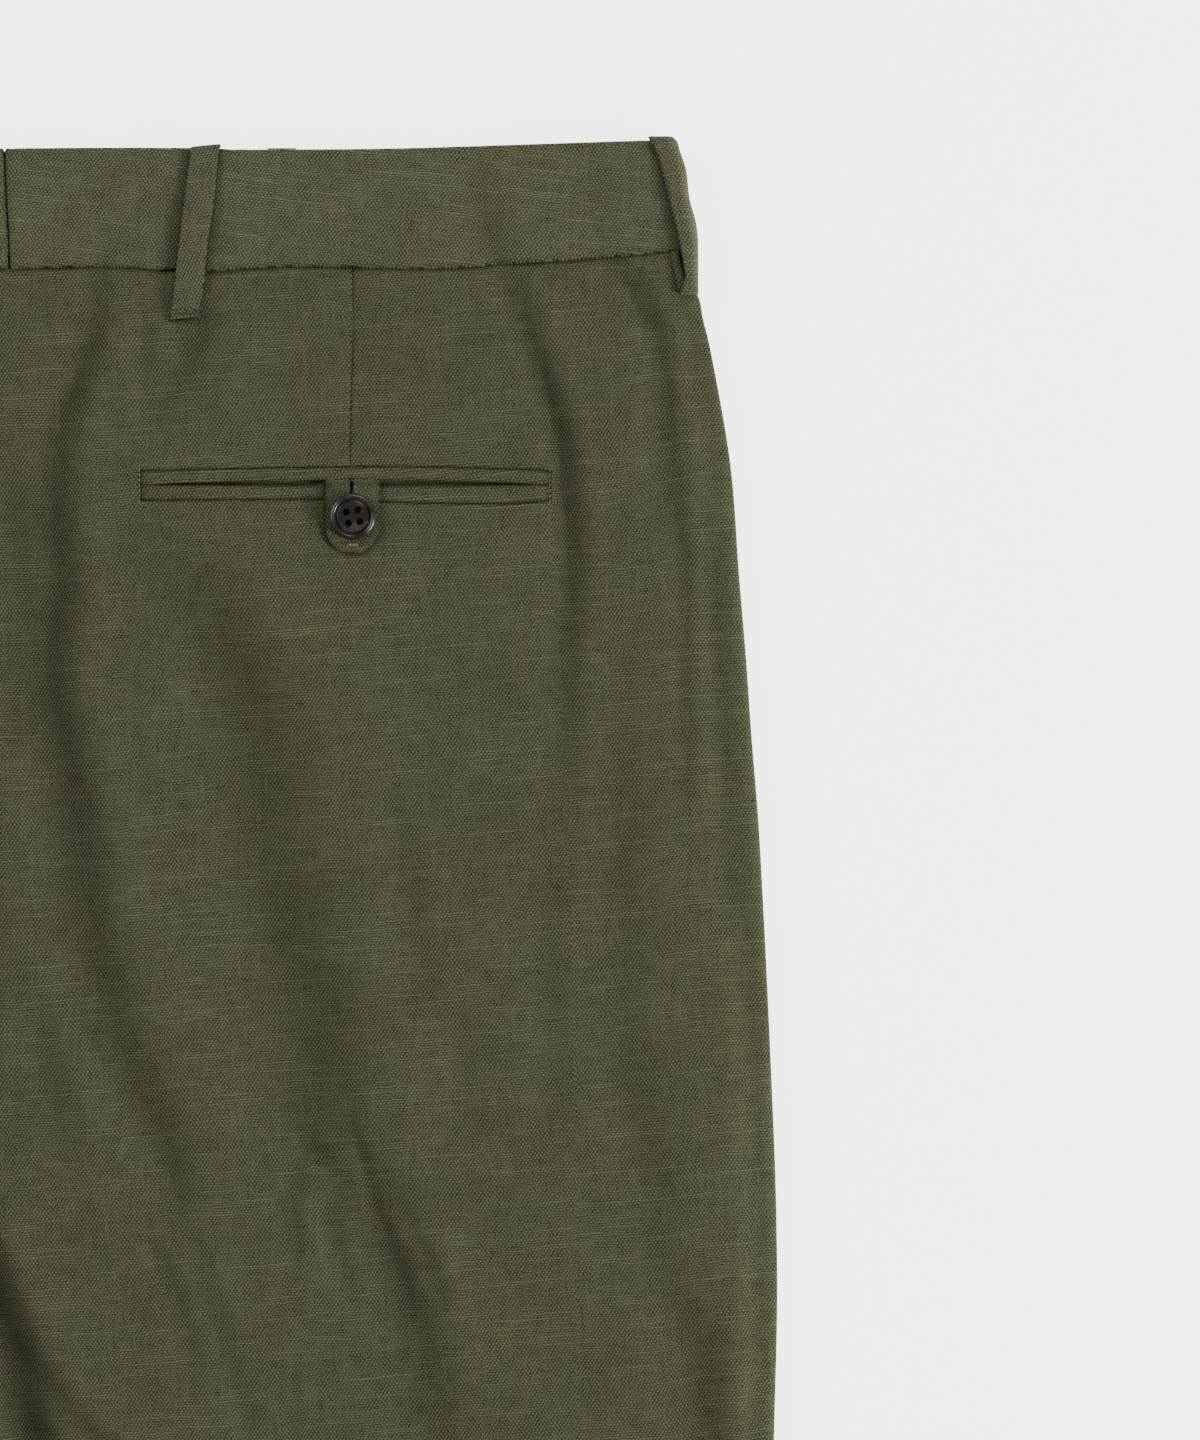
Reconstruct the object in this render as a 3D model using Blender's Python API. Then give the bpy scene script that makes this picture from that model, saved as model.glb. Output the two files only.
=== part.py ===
"""Linen trousers laid flat with the back up, as separate cut-and-sewn cloth pieces.

Lengths are in millimetres until a mesh is made. "right" is the wearer's right, at +X.
"down" is the distance below the waistband's top edge, towards the hems at -Y, and "across"
is the distance from the centre back, mirrored on the left half. The garment rests on Z = 0:
the front panels lie underneath and the back panels on top of them.
"""
import math
from dataclasses import dataclass

import bmesh
import bpy
import numpy as np

METRE = 0.001

# Driving dimensions.
LENGTH = 1048.0          # top of the waistband to the hem
CROTCH_DOWN = 300.0
BAND_HEIGHT = 39.0
PLY = 1.2                # wall of one cloth panel
BAND_PLY = 2.0           # wall of the folded and interlined waistband
SEAM = 0.3               # clearance between neighbouring pieces
LAYER_GAP = 1.0          # least space between the front and the back layer

# Heights of the layers.
FRONT_LIFT = 1.6         # the front rises over its own belt loops near the waist
BAND_FRONT_MID = FRONT_LIFT + BAND_PLY / 2
BAND_BACK_MID = 6.2
EDGE_MID = 5.2           # the back cloth's height where it rounds over a fold
RELIEF_FLAT = 2.5        # height above the lowest lie, away from folds
RELIEF_MOST = 4.2

# The back pocket, with its lines measured down.
POCKET_START = 45.3
POCKET_END = 181.3
WELT_TOP = 106.7
MOUTH_TOP = 110.9
MOUTH_BOTTOM = 113.0
WELT_BOTTOM = 117.5
WELT_PLY = 1.0
WELT_RECESS = 1.3        # the panel lies this much lower under the welts

# The pocket's tab and button.
TAB_CENTRE = 115.8
TAB_WIDTH = 17.7
TAB_TOP = 111.3
TAB_BOTTOM = 135.0
TAB_PLY = 1.2
BUTTON_ACROSS = 116.3
BUTTON_DOWN = 123.2
BUTTON_RADIUS = 7.7
HOLE_RADIUS = 1.05
HOLE_RING = 2.7          # radius of the ring that the four holes lie on
HOLE_TURN = math.radians(55)

# Belt loops: places of their middle line, across, at the top and at the lower end.
LOOP_WIDTH = 9.3
LOOP_PLY = 1.2
LOOP_LENGTH = 57.0
LOOP_BACK_TOP = 66.8
LOOP_BACK_END = 60.0
LOOP_FRONT = 92.0
LOOP_SIDE_LENGTH = 48.5
LOOP_SIDE_PROUD = 1.7    # how far the side loop stands above the waistband
LOOP_SIDE_EDGE = ((0, 214.8), (10, 217.0), (22, 220.3), (31, 223.0), (37, 224.2), (43, 224.8),
                  (LOOP_SIDE_LENGTH, 225.0))   # its inner edge, as (down, across)

# Outlines as (down, across).
SIDE_LINE = ((37, 231.0), (64, 234.3), (104, 241.3), (144, 244.5), (197, 248.0), (250, 252.3),
             (304, 255.0), (384, 257.6), (424, 256.7), (600, 250.0), (800, 243.0), (LENGTH, 238.0))
SEAT_LINE = ((37, 0.4), (56, -1.7), (110, -7.0), (180, -11.0), (250, -14.5), (CROTCH_DOWN, -16.0))
INNER_LINE_RIGHT = ((CROTCH_DOWN, -16.0), (360, -19.0), (431, -18.0), (500, -10.0), (560, -1.0),
                    (640, 10.0), (800, 31.0), (LENGTH, 47.0))
INNER_LINE_LEFT = ((CROTCH_DOWN, -16.0), (360, -19.0), (431, -18.5), (500, -14.5), (560, -12.5),
                   (640, -15.0), (800, -31.0), (LENGTH, -47.0))
FRONT_CENTRE_LINE = ((37, 0.0), (150, 0.0), (230, -5.0), (CROTCH_DOWN, -16.0))

# Waistband edges: the top and bottom as (across, down), the side fold as (down, across).
BAND_TOP_LINE = ((0, 0.4), (120, 0.6), (160, -0.6), (205, -1.8), (232, -2.4))
BAND_BOTTOM_LINE = ((0, 39.5), (70, 39.6), (150, 39.2), (185, 37.0), (210, 35.0), (232, 33.6))
BAND_SIDE_LINE = ((0, 223.4), (20, 226.2), (BAND_HEIGHT, 229.0))


@dataclass(frozen=True)
class Fold:
    """A soft trough in the back cloth that runs along (down, across) points."""

    width: float
    depth: float
    line: tuple


FOLDS_RIGHT = (
    Fold(9.0, 2.6, ((40, 33), (98, 17), (171, 16), (251, 29), (314, 50), (370, 68))),
    Fold(12.0, 2.4, ((132, 44), (182, 80), (231, 85), (300, 102), (354, 124), (394, 144), (480, 150))),
    Fold(8.0, 2.6, ((40, 163), (57, 174), (95, 186), (134, 190), (180, 188), (240, 188))),
    Fold(8.0, 1.6, ((40, 205), (61, 217), (100, 224), (160, 229))),
    Fold(7.0, 1.0, ((130, 236), (184, 240), (284, 244), (330, 245))),
    Fold(10.0, 2.8, ((350, -9), (374, -2), (414, 8), (450, 20), (520, 45), (610, 72))),
    Fold(10.0, 1.7, ((310, 198), (361, 219), (404, 232), (431, 238), (520, 243))),
    Fold(15.0, 1.8, ((560, 60), (640, 120), (720, 150), (820, 158))),
    Fold(16.0, 1.6, ((700, 205), (800, 196), (900, 170), (1000, 150))),
    Fold(14.0, 1.4, ((660, 34), (760, 60), (860, 92), (980, 104))),
)
FOLDS_LEFT = (
    Fold(9.0, 2.4, ((40, 41), (90, 30), (160, 27), (240, 40), (310, 66), (380, 84))),
    Fold(12.0, 2.3, ((120, 60), (175, 88), (235, 98), (305, 112), (360, 136), (410, 152), (500, 160))),
    Fold(8.0, 2.4, ((40, 156), (62, 168), (100, 184), (145, 192), (200, 190), (262, 186))),
    Fold(8.0, 1.5, ((40, 200), (66, 213), (110, 226), (150, 229))),
    Fold(7.0, 1.0, ((150, 236), (210, 242), (300, 245), (350, 246))),
    Fold(11.0, 2.4, ((360, 34), (400, 44), (450, 58), (520, 84), (600, 108))),
    Fold(10.0, 1.6, ((330, 206), (380, 222), (430, 236), (540, 242))),
    Fold(15.0, 1.7, ((580, 70), (650, 118), (740, 146), (850, 150))),
    Fold(16.0, 1.6, ((690, 210), (790, 200), (900, 180), (1010, 160))),
    Fold(14.0, 1.4, ((680, 40), (770, 66), (880, 88), (1000, 100))),
)

# The panels' grids: rows measured down, level columns measured across beside the pocket.
PANEL_ROWS = (40.3, 49, 60, 74, 90, 103.4, WELT_TOP, MOUTH_TOP, MOUTH_BOTTOM, WELT_BOTTOM, 121,
              134, 150, 170, 192, 215, 240, 265, 285, CROTCH_DOWN, 320, 345, 372, 400, 431, 470,
              515, 570, 640, 720, 810, 920, LENGTH)
BACK_COLUMNS = (4, 10, 18, 27, 36, POCKET_START, 56, 67, 78, 90, 101, 110, 121.5, 133, 146, 159,
                171, POCKET_END, 188, 197, 208, 219, 230)
FRONT_COLUMNS = (4, 70, 150, 230)
BACK_ROUNDING = 4.6      # how far a rounded edge reaches in over the cloth
FRONT_ROUNDING = 2.4
ROUNDING_STEPS = 4
EDGE_REACH = 14.0        # folds fade out over this width beside a rounded edge

COLOURS = {
    "cloth": (0.075, 0.072, 0.036),
    "band": (0.088, 0.085, 0.045),
    "trim": (0.082, 0.079, 0.041),
    "button": (0.018, 0.012, 0.009),
}


def smooth_line(points, place):
    """Read a smooth curve through (place, value) points."""
    places = np.array([p[0] for p in points], float)
    values = np.array([p[1] for p in points], float)
    slopes = np.gradient(values, places)
    place = np.clip(np.asarray(place, float), places[0], places[-1])
    left = np.clip(np.searchsorted(places, place, side="right") - 1, 0, len(places) - 2)
    span = places[left + 1] - places[left]
    t = (place - places[left]) / span
    start = (1 + 2 * t) * (1 - t) ** 2 * values[left] + t * (1 - t) ** 2 * span * slopes[left]
    end = t * t * (3 - 2 * t) * values[left + 1] + t * t * (t - 1) * span * slopes[left + 1]
    return start + end


def ease(value, low, high):
    """Rise smoothly from 0 at low to 1 at high."""
    t = np.clip((np.asarray(value, float) - low) / (high - low), 0.0, 1.0)
    return t * t * (3 - 2 * t)


def fold_relief(fold, across, down):
    """Height that one fold adds: a trough with a low ridge along each side."""
    first, last = fold.line[0][0], fold.line[-1][0]
    reach = last - first
    strength = ease(down, first - 0.06 * reach, first + 0.16 * reach)
    strength = strength * (1 - ease(down, last - 0.35 * reach, last + 0.05 * reach))
    u = (across - smooth_line(fold.line, down)) / fold.width
    return -fold.depth * strength * (1 - 0.55 * u * u) * np.exp(-0.5 * u * u)


def front_mid(down):
    """Height of the middle of the front wall: lifted near the waist, flat below."""
    return PLY / 2 + FRONT_LIFT * (1 - ease(down, 64.0, 112.0))


def back_edge_mid(down):
    """Height of the middle of the back wall beside its rounded edges."""
    below_band = BAND_BACK_MID - 0.1
    return below_band + (EDGE_MID - below_band) * ease(down, 38.0, 78.0)


def side_apex(down):
    """Height of the seams at the side folds and the inner legs."""
    return 0.5 * (front_mid(down) + back_edge_mid(down))


def pocket_recess(across, down):
    """Depth by which the back panel dips under the pocket's welts."""
    along = ease(across, POCKET_START - 8, POCKET_START - 0.5)
    along = along * (1 - ease(across, POCKET_END + 0.5, POCKET_END + 6))
    depth = ease(down, WELT_TOP - 3.2, WELT_TOP - 0.2)
    return WELT_RECESS * along * depth * (1 - ease(down, WELT_BOTTOM + 0.2, WELT_BOTTOM + 3.4))


def back_mid(folds, across, down):
    """Height of the middle of the back wall, with its folds and the pocket's recess."""
    relief = RELIEF_FLAT + sum(fold_relief(fold, across, down) for fold in folds)
    relief = RELIEF_MOST / (1 + np.exp(-4.0 * (relief / RELIEF_MOST - 0.5)))
    lie = 1.5 * PLY + LAYER_GAP + relief
    below_band = BAND_BACK_MID - 0.1
    return below_band + (lie - below_band) * ease(down, 38.0, 78.0) - pocket_recess(across, down)


def curl(down):
    """How far the cloth rounds down at the centre seams: none at the seat, fully at the crotch."""
    return float(ease(down, 190.0, CROTCH_DOWN))


def inner_edge(side, down, back):
    """Place of the centre seam, or of the inner leg below the crotch, on one half."""
    if down >= CROTCH_DOWN:
        line = INNER_LINE_RIGHT if side > 0 else INNER_LINE_LEFT
    else:
        line = SEAT_LINE if back else FRONT_CENTRE_LINE
    return side * float(smooth_line(line, down))


def band_shift(across, down):
    """Move the panels' top rows up with the waistband's lower seam."""
    rise = smooth_line(BAND_BOTTOM_LINE, np.abs(across)) - BAND_HEIGHT
    return rise * (1 - ease(down, 40.0, 104.0))


def level_columns(columns, inner, outer, down):
    """Places of the level columns, held on the pocket's lines where its rows pass."""
    marks = np.array(columns, float)
    spread = inner + (outer - inner) * (marks - marks[0]) / (marks[-1] - marks[0])
    marks[0], marks[-1] = inner, outer
    hold = ease(down, 60.0, 100.0) * (1 - ease(down, 125.0, 200.0))
    return spread * (1 - hold) + marks * hold


def panel_row(side, down, back):
    """Middle points of one row of a panel, from its inner seam to its side seam."""
    rounding = BACK_ROUNDING if back else FRONT_ROUNDING
    turn = curl(down)
    inner = inner_edge(side, down, back) + SEAM / 2 + PLY / 2 * math.sin(turn * math.pi / 2)
    at_side = down + float(band_shift(BAND_SIDE_LINE[-1][1], down))
    outer = float(smooth_line(SIDE_LINE, at_side)) - PLY / 2
    columns = BACK_COLUMNS if back else FRONT_COLUMNS
    level = level_columns(columns, inner + rounding, outer - rounding, down)
    angles = np.linspace(0.0, math.pi / 2, ROUNDING_STEPS + 1)[:-1]
    reach = rounding * (1 - np.cos(angles))
    across = np.concatenate([inner + reach, level, (outer - reach)[::-1]])
    if back:
        folds = FOLDS_RIGHT if side > 0 else FOLDS_LEFT
        height = back_mid(folds, across, down)
        beside = np.maximum(turn * (1 - ease(across - inner - rounding, 0, EDGE_REACH)),
                            1 - ease(outer - rounding - across, 0, EDGE_REACH))
        height = height + (back_edge_mid(down) - height) * beside
        seam = side_apex(down) + SEAM / 2
    else:
        height = np.full(len(across), front_mid(down))
        seam = side_apex(down) - SEAM / 2
    fall = np.zeros(len(across))
    fall[:ROUNDING_STEPS] = turn * (1 - np.sin(angles))
    fall[-ROUNDING_STEPS:] = (1 - np.sin(angles))[::-1]
    height = height + (seam - height) * fall
    place = down + band_shift(across, down)
    return np.stack([side * across, -place, height], axis=1)


def panel_walls(side, back):
    """Upper and lower points of one panel's wall."""
    mid = np.array([panel_row(side, down, back) for down in PANEL_ROWS])
    step = np.gradient(mid, axis=1)
    normal = np.stack([-step[:, :, 2], np.zeros(mid.shape[:2]), step[:, :, 0]], axis=2) * side
    normal = normal / np.linalg.norm(normal, axis=2, keepdims=True)
    facing = 1 if back else -1
    for row, down in enumerate(PANEL_ROWS):
        lean = curl(down) * math.pi / 2
        normal[row, 0] = (-side * facing * math.sin(lean), 0.0, math.cos(lean))
        normal[row, -1] = (side * facing, 0.0, 0.0)
    upper = mid + normal * PLY / 2
    lower = mid - normal * PLY / 2
    if not back:
        floor = np.array([[front_mid(down) - PLY / 2] for down in PANEL_ROWS])
        lower[:, :, 2] = np.maximum(lower[:, :, 2], floor)
    return upper, lower


def ribbon_walls(mid, ply, upward):
    """Upper and lower points of a wall round any grid of middle points."""
    normal = np.cross(np.gradient(mid, axis=1), np.gradient(mid, axis=0))
    normal = normal / np.linalg.norm(normal, axis=2, keepdims=True)
    normal = normal * np.sign(np.sum(normal * np.asarray(upward, float), axis=2))[:, :, None]
    return mid + normal * ply / 2, mid - normal * ply / 2


def top_of(upper, across, down):
    """Height of a panel's upper face at one place, read from the grid's own cells."""
    places = []
    heights = []
    for row in upper:
        order = np.argsort(row[:, 0], kind="stable")
        places.append(np.interp(across, row[order, 0], -row[order, 1]))
        heights.append(np.interp(across, row[order, 0], row[order, 2]))
    return float(np.interp(down, places, heights))


def material(kind):
    """The Principled material of one kind of piece, made once."""
    found = bpy.data.materials.get(kind)
    if found:
        return found
    made = bpy.data.materials.new(kind)
    made.use_nodes = True
    shader = made.node_tree.nodes["Principled BSDF"]
    shader.inputs["Base Color"].default_value = (*COLOURS[kind], 1.0)
    shader.inputs["Roughness"].default_value = 0.3 if kind == "button" else 0.9
    shader.inputs["Metallic"].default_value = 0.0
    return made


def add_object(name, points, faces, kind):
    """Make one mesh object in metres with its faces pointing out."""
    mesh = bpy.data.meshes.new(name)
    mesh.from_pydata([tuple(p) for p in np.asarray(points, float) * METRE], [], faces)
    work = bmesh.new()
    work.from_mesh(mesh)
    bmesh.ops.triangulate(work, faces=work.faces[:], quad_method="FIXED")
    bmesh.ops.recalc_face_normals(work, faces=work.faces[:])
    work.to_mesh(mesh)
    work.free()
    mesh.materials.append(material(kind))
    mesh.shade_smooth()
    mesh.set_sharp_from_angle(angle=math.radians(40))
    made = bpy.data.objects.new(name, mesh)
    bpy.context.scene.collection.objects.link(made)
    return made


def closed_grid(name, upper, lower, kind):
    """Close two matching grids of points into one solid."""
    rows, columns = upper.shape[:2]
    under = rows * columns
    faces = []
    for r in range(rows - 1):
        for c in range(columns - 1):
            a = r * columns + c
            quad = (a, a + 1, a + 1 + columns, a + columns)
            faces.append(quad)
            faces.append(tuple(under + i for i in reversed(quad)))
    rim = list(range(columns))
    rim += [r * columns + columns - 1 for r in range(1, rows)]
    rim += [(rows - 1) * columns + c for c in range(columns - 2, -1, -1)]
    rim += [r * columns for r in range(rows - 2, 0, -1)]
    for here, there in zip(rim, rim[1:] + rim[:1]):
        faces.append((here, under + here, under + there, there))
    points = np.concatenate([upper.reshape(-1, 3), lower.reshape(-1, 3)])
    return add_object(name, points, faces, kind)


def build_waistband(name, side):
    """One half of the waistband, from the centre back round the side to the centre front."""
    rounding = 0.5 * (BAND_BACK_MID - BAND_FRONT_MID)
    level = 0.5 * (BAND_BACK_MID + BAND_FRONT_MID)
    angles = np.linspace(math.pi / 2, -math.pi / 2, 7)
    rows = []
    for share in (0.0, 0.35, 0.7, 1.0):
        turn_at = float(smooth_line(BAND_SIDE_LINE, share * BAND_HEIGHT)) - BAND_PLY / 2 - rounding
        inner_back = side * float(smooth_line(SEAT_LINE, 37.0)) + SEAM / 2
        back = np.linspace(inner_back, turn_at, 9)[:-1]
        front = np.linspace(turn_at, SEAM / 2, 9)[1:]
        across = np.concatenate([back, turn_at + rounding * np.cos(angles), front])
        height = np.concatenate([np.full(8, BAND_BACK_MID), level + rounding * np.sin(angles),
                                 np.full(8, BAND_FRONT_MID)])
        top = smooth_line(BAND_TOP_LINE, across)
        bottom = smooth_line(BAND_BOTTOM_LINE, across)
        down = top + share * (bottom - top)
        rows.append(np.stack([side * across, -down, height], axis=1))
    mid = np.array(rows)
    step = np.gradient(mid, axis=1)
    normal = np.stack([-step[:, :, 2], np.zeros(mid.shape[:2]), step[:, :, 0]], axis=2) * side
    normal = normal / np.linalg.norm(normal, axis=2, keepdims=True)
    closed_grid(name, mid + normal * BAND_PLY / 2, mid - normal * BAND_PLY / 2, "band")


def build_back_loop(name, side, panel_upper):
    """A belt loop on the back, folded over the waistband's top edge and sewn down below it."""
    band_top = BAND_BACK_MID + BAND_PLY / 2
    rest = SEAM + LOOP_PLY / 2
    top_edge = float(smooth_line(BAND_TOP_LINE, LOOP_BACK_TOP)) - rest - 0.1
    halves = np.array([-0.5, 0.5]) * LOOP_WIDTH
    end = max(top_of(panel_upper, side * (LOOP_BACK_END + h), LOOP_LENGTH - back_by)
              for h in halves for back_by in (0.0, 8.0)) + rest + 0.05
    profile = ((top_edge, band_top - 1.6), (top_edge, band_top), (top_edge + 0.35, band_top + 0.62),
               (top_edge + 1.0, band_top + rest), (8.0, band_top + rest + 0.2),
               (22.0, band_top + rest + 0.5), (35.0, band_top + rest + 0.3),
               (41.5, band_top + rest), (47.0, end), (LOOP_LENGTH, end))
    rows = []
    for down, height in profile:
        share = (down - top_edge) / (LOOP_LENGTH - top_edge)
        middle = LOOP_BACK_TOP + (LOOP_BACK_END - LOOP_BACK_TOP) * share
        rows.append([(side * (middle + h), -down, height) for h in halves])
    upper, lower = ribbon_walls(np.array(rows), LOOP_PLY, (0.0, 0.4, 1.0))
    closed_grid(name, upper, lower, "trim")


def build_front_loop(name, side):
    """A belt loop on the front, flat between the garment and what it rests on."""
    middle = LOOP_PLY / 2
    rest = SEAM + LOOP_PLY / 2
    top_edge = float(smooth_line(BAND_TOP_LINE, LOOP_FRONT)) - rest - 0.1
    profile = ((top_edge, middle + 2.4), (top_edge, middle + 1.0), (top_edge + 0.35, middle + 0.25),
               (top_edge + 1.0, middle), (LOOP_LENGTH, middle))
    halves = np.array([-0.5, 0.5]) * LOOP_WIDTH
    rows = [[(side * (LOOP_FRONT + h), -down, height) for h in halves] for down, height in profile]
    upper, lower = ribbon_walls(np.array(rows), LOOP_PLY, (0.0, -0.4, 1.0))
    lower[:, :, 2] = np.maximum(lower[:, :, 2], 0.0)
    closed_grid(name, upper, lower, "trim")


def build_side_loop(name, side):
    """A belt loop that lies round the side fold, from the waistband down to the panel."""
    rest = SEAM + 0.1 + LOOP_PLY / 2
    top_edge = float(smooth_line(BAND_TOP_LINE, 220.0)) - LOOP_SIDE_PROUD + LOOP_PLY / 2
    rows = []
    for down, inner in LOOP_SIDE_EDGE:
        on_panel = float(ease(down, 20.0, 31.0))
        band_side = float(smooth_line(BAND_SIDE_LINE, down))
        band_turn = 0.5 * (BAND_BACK_MID - BAND_FRONT_MID) + BAND_PLY / 2
        panel_side = float(smooth_line(SIDE_LINE, down))
        panel_turn = BACK_ROUNDING + PLY / 2
        fold_at = max(band_side, panel_side * on_panel)
        reach = band_turn + (panel_turn - band_turn) * on_panel + rest
        level = 0.5 * (BAND_BACK_MID + BAND_FRONT_MID)
        rise = BAND_BACK_MID + BAND_PLY / 2 + rest - level - 0.25 * on_panel
        centre = fold_at + rest - reach
        angles = np.linspace(math.pi / 2, -0.25, 6)
        across = np.concatenate([np.linspace(min(inner, centre - 1.0), centre, 3)[:-1],
                                 centre + reach * np.cos(angles)])
        height = np.concatenate([np.full(2, level + rise), level + rise * np.sin(angles)])
        place = top_edge + (1 - top_edge / LOOP_SIDE_LENGTH) * down
        rows.append(np.stack([side * across, np.full(len(across), -place), height], axis=1))
    upper, lower = ribbon_walls(np.array(rows), LOOP_PLY, (side * 0.7, 0.0, 0.7))
    closed_grid(name, upper, lower, "trim")


def build_welt(name, panel_upper, top, bottom):
    """One lip of a pocket, made from the panel's own points and raised off it."""
    rows = [PANEL_ROWS.index(top), PANEL_ROWS.index(bottom)]
    first = ROUNDING_STEPS + BACK_COLUMNS.index(POCKET_START)
    last = ROUNDING_STEPS + BACK_COLUMNS.index(POCKET_END)
    under = panel_upper[rows][:, first:last + 1].copy()
    under[:, :, 2] += SEAM
    over = under.copy()
    over[:, :, 2] += WELT_PLY
    closed_grid(name, over, under, "trim")


def build_tab(name, side, panel_upper):
    """The pocket's button tab, from the mouth down over the lower welt, with a round end."""
    radius = TAB_WIDTH / 2
    shoulder = TAB_BOTTOM - radius
    rows = []
    for down in (TAB_TOP, 113.0, 115.2, 117.5, 119.4, 121.0, 123.4, shoulder, 128.6, 131.0, 133.0,
                 134.3, TAB_BOTTOM - 0.1):
        past = max(0.0, down - shoulder)
        half = math.sqrt(max(radius * radius - past * past, 0.0))
        row = []
        for share in (-1.0, -0.5, 0.0, 0.5, 1.0):
            across = TAB_CENTRE + share * half
            height = top_of(panel_upper, side * across, down) + float(pocket_recess(across, down))
            row.append((side * across, -down, height + SEAM + 0.1))
        rows.append(row)
    under = np.array(rows)
    over = under + (0.0, 0.0, TAB_PLY)
    closed_grid(name, over, under, "trim")
    return float(over[3:9, :, 2].max())


def build_button(name, side, base):
    """A dished four-hole button that lies on its tab."""
    profile = ((0.0, 0.0), (6.4, 0.0), (7.4, 0.6), (BUTTON_RADIUS, 1.3), (7.4, 2.2), (6.7, 2.7),
               (5.9, 2.6), (5.3, 2.1), (4.0, 1.8), (0.0, 1.7))
    sides = 28
    points = [(0.0, 0.0, profile[0][1])]
    for radius, height in profile[1:-1]:
        for i in range(sides):
            angle = 2 * math.pi * i / sides
            points.append((radius * math.cos(angle), radius * math.sin(angle), height))
    points.append((0.0, 0.0, profile[-1][1]))
    faces = []
    rings = len(profile) - 2
    for i in range(sides):
        j = (i + 1) % sides
        faces.append((0, 1 + j, 1 + i))
        for ring in range(rings - 1):
            low, high = 1 + ring * sides, 1 + (ring + 1) * sides
            faces.append((low + i, low + j, high + j, high + i))
        last = 1 + (rings - 1) * sides
        faces.append((last + i, last + j, len(points) - 1))
    centre = np.array([side * BUTTON_ACROSS, -BUTTON_DOWN, base])
    button = add_object(name, np.array(points) + centre, faces, "button")
    for hole in range(4):
        angle = HOLE_TURN + hole * math.pi / 2
        place = centre + (HOLE_RING * math.cos(angle), HOLE_RING * math.sin(angle), 0.0)
        cut_hole(button, f"{name}_cutter_{hole}", place)
    return button


def cut_hole(target, name, place):
    """Cut one thread hole right through the button."""
    cutter = bmesh.new()
    bmesh.ops.create_cone(cutter, cap_ends=True, segments=12, radius1=HOLE_RADIUS * METRE,
                          radius2=HOLE_RADIUS * METRE, depth=8.0 * METRE)
    mesh = bpy.data.meshes.new(name)
    cutter.to_mesh(mesh)
    cutter.free()
    made = bpy.data.objects.new(name, mesh)
    made.location = place * METRE
    made.hide_render = True
    made.display_type = "WIRE"
    bpy.context.scene.collection.objects.link(made)
    cut = target.modifiers.new(name, "BOOLEAN")
    cut.operation = "DIFFERENCE"
    cut.solver = "EXACT"
    cut.object = made


def centre_on_origin():
    """Move everything along Y so that the origin is under the middle of the garment."""
    solids = [o for o in bpy.data.objects if not o.hide_render]
    places = [v.co.y for o in solids for v in o.data.vertices]
    middle = 0.5 * (min(places) + max(places))
    for o in solids:
        for vertex in o.data.vertices:
            vertex.co.y -= middle
    for o in bpy.data.objects:
        if o.hide_render:
            o.location.y -= middle


def build_half(label, side):
    """All the pieces of one half of the garment."""
    back_upper, back_lower = panel_walls(side, back=True)
    front_upper, front_lower = panel_walls(side, back=False)
    closed_grid(f"back_panel_{label}", back_upper, back_lower, "cloth")
    closed_grid(f"front_panel_{label}", front_upper, front_lower, "cloth")
    build_waistband(f"waistband_{label}", side)
    build_back_loop(f"loop_back_{label}", side, back_upper)
    build_side_loop(f"loop_side_{label}", side)
    build_front_loop(f"loop_front_{label}", side)
    build_welt(f"welt_upper_{label}", back_upper, WELT_TOP, MOUTH_TOP)
    build_welt(f"welt_lower_{label}", back_upper, MOUTH_BOTTOM, WELT_BOTTOM)
    tab_top = build_tab(f"tab_{label}", side, back_upper)
    build_button(f"button_{label}", side, tab_top + SEAM)


def main():
    """Build the whole garment."""
    for old in list(bpy.data.objects):
        bpy.data.objects.remove(old, do_unlink=True)
    for label, side in (("right", 1), ("left", -1)):
        build_half(label, side)
    bpy.context.view_layer.update()
    centre_on_origin()


main()
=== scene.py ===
"""Looks of the linen trousers, laid flat with the back up: cloth, trims, stitching and studio.

Lengths are in millimetres until a mesh is made. "down" is the distance below the waistband's
top edge, "across" the distance from the centre back, mirrored on the left half, and "height"
the distance above the surface that the garment lies on.
"""
import logging
import math
from dataclasses import dataclass
from enum import Enum
from functools import partialmethod
from typing import Optional, Sequence, Union

import bmesh
import bpy
import numpy as np
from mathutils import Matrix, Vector


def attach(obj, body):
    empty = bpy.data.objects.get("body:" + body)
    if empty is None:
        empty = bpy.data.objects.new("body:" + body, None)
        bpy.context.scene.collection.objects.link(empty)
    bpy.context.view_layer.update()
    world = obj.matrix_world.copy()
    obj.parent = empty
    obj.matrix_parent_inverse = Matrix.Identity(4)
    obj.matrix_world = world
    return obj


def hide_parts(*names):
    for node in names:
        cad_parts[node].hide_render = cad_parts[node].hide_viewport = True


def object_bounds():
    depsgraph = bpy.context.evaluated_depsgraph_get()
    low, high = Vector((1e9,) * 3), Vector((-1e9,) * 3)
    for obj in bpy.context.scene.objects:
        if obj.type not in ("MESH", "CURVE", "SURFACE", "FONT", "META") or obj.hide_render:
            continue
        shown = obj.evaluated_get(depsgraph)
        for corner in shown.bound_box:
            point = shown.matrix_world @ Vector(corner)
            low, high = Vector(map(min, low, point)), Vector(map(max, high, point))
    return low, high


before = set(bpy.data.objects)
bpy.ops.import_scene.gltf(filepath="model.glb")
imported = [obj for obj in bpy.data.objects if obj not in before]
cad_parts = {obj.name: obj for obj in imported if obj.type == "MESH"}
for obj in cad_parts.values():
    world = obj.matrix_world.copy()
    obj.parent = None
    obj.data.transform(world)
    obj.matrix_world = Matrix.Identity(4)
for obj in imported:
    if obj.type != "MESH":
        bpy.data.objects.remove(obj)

log = logging.getLogger("trousers")
Number = Union[float, np.ndarray]
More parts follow.
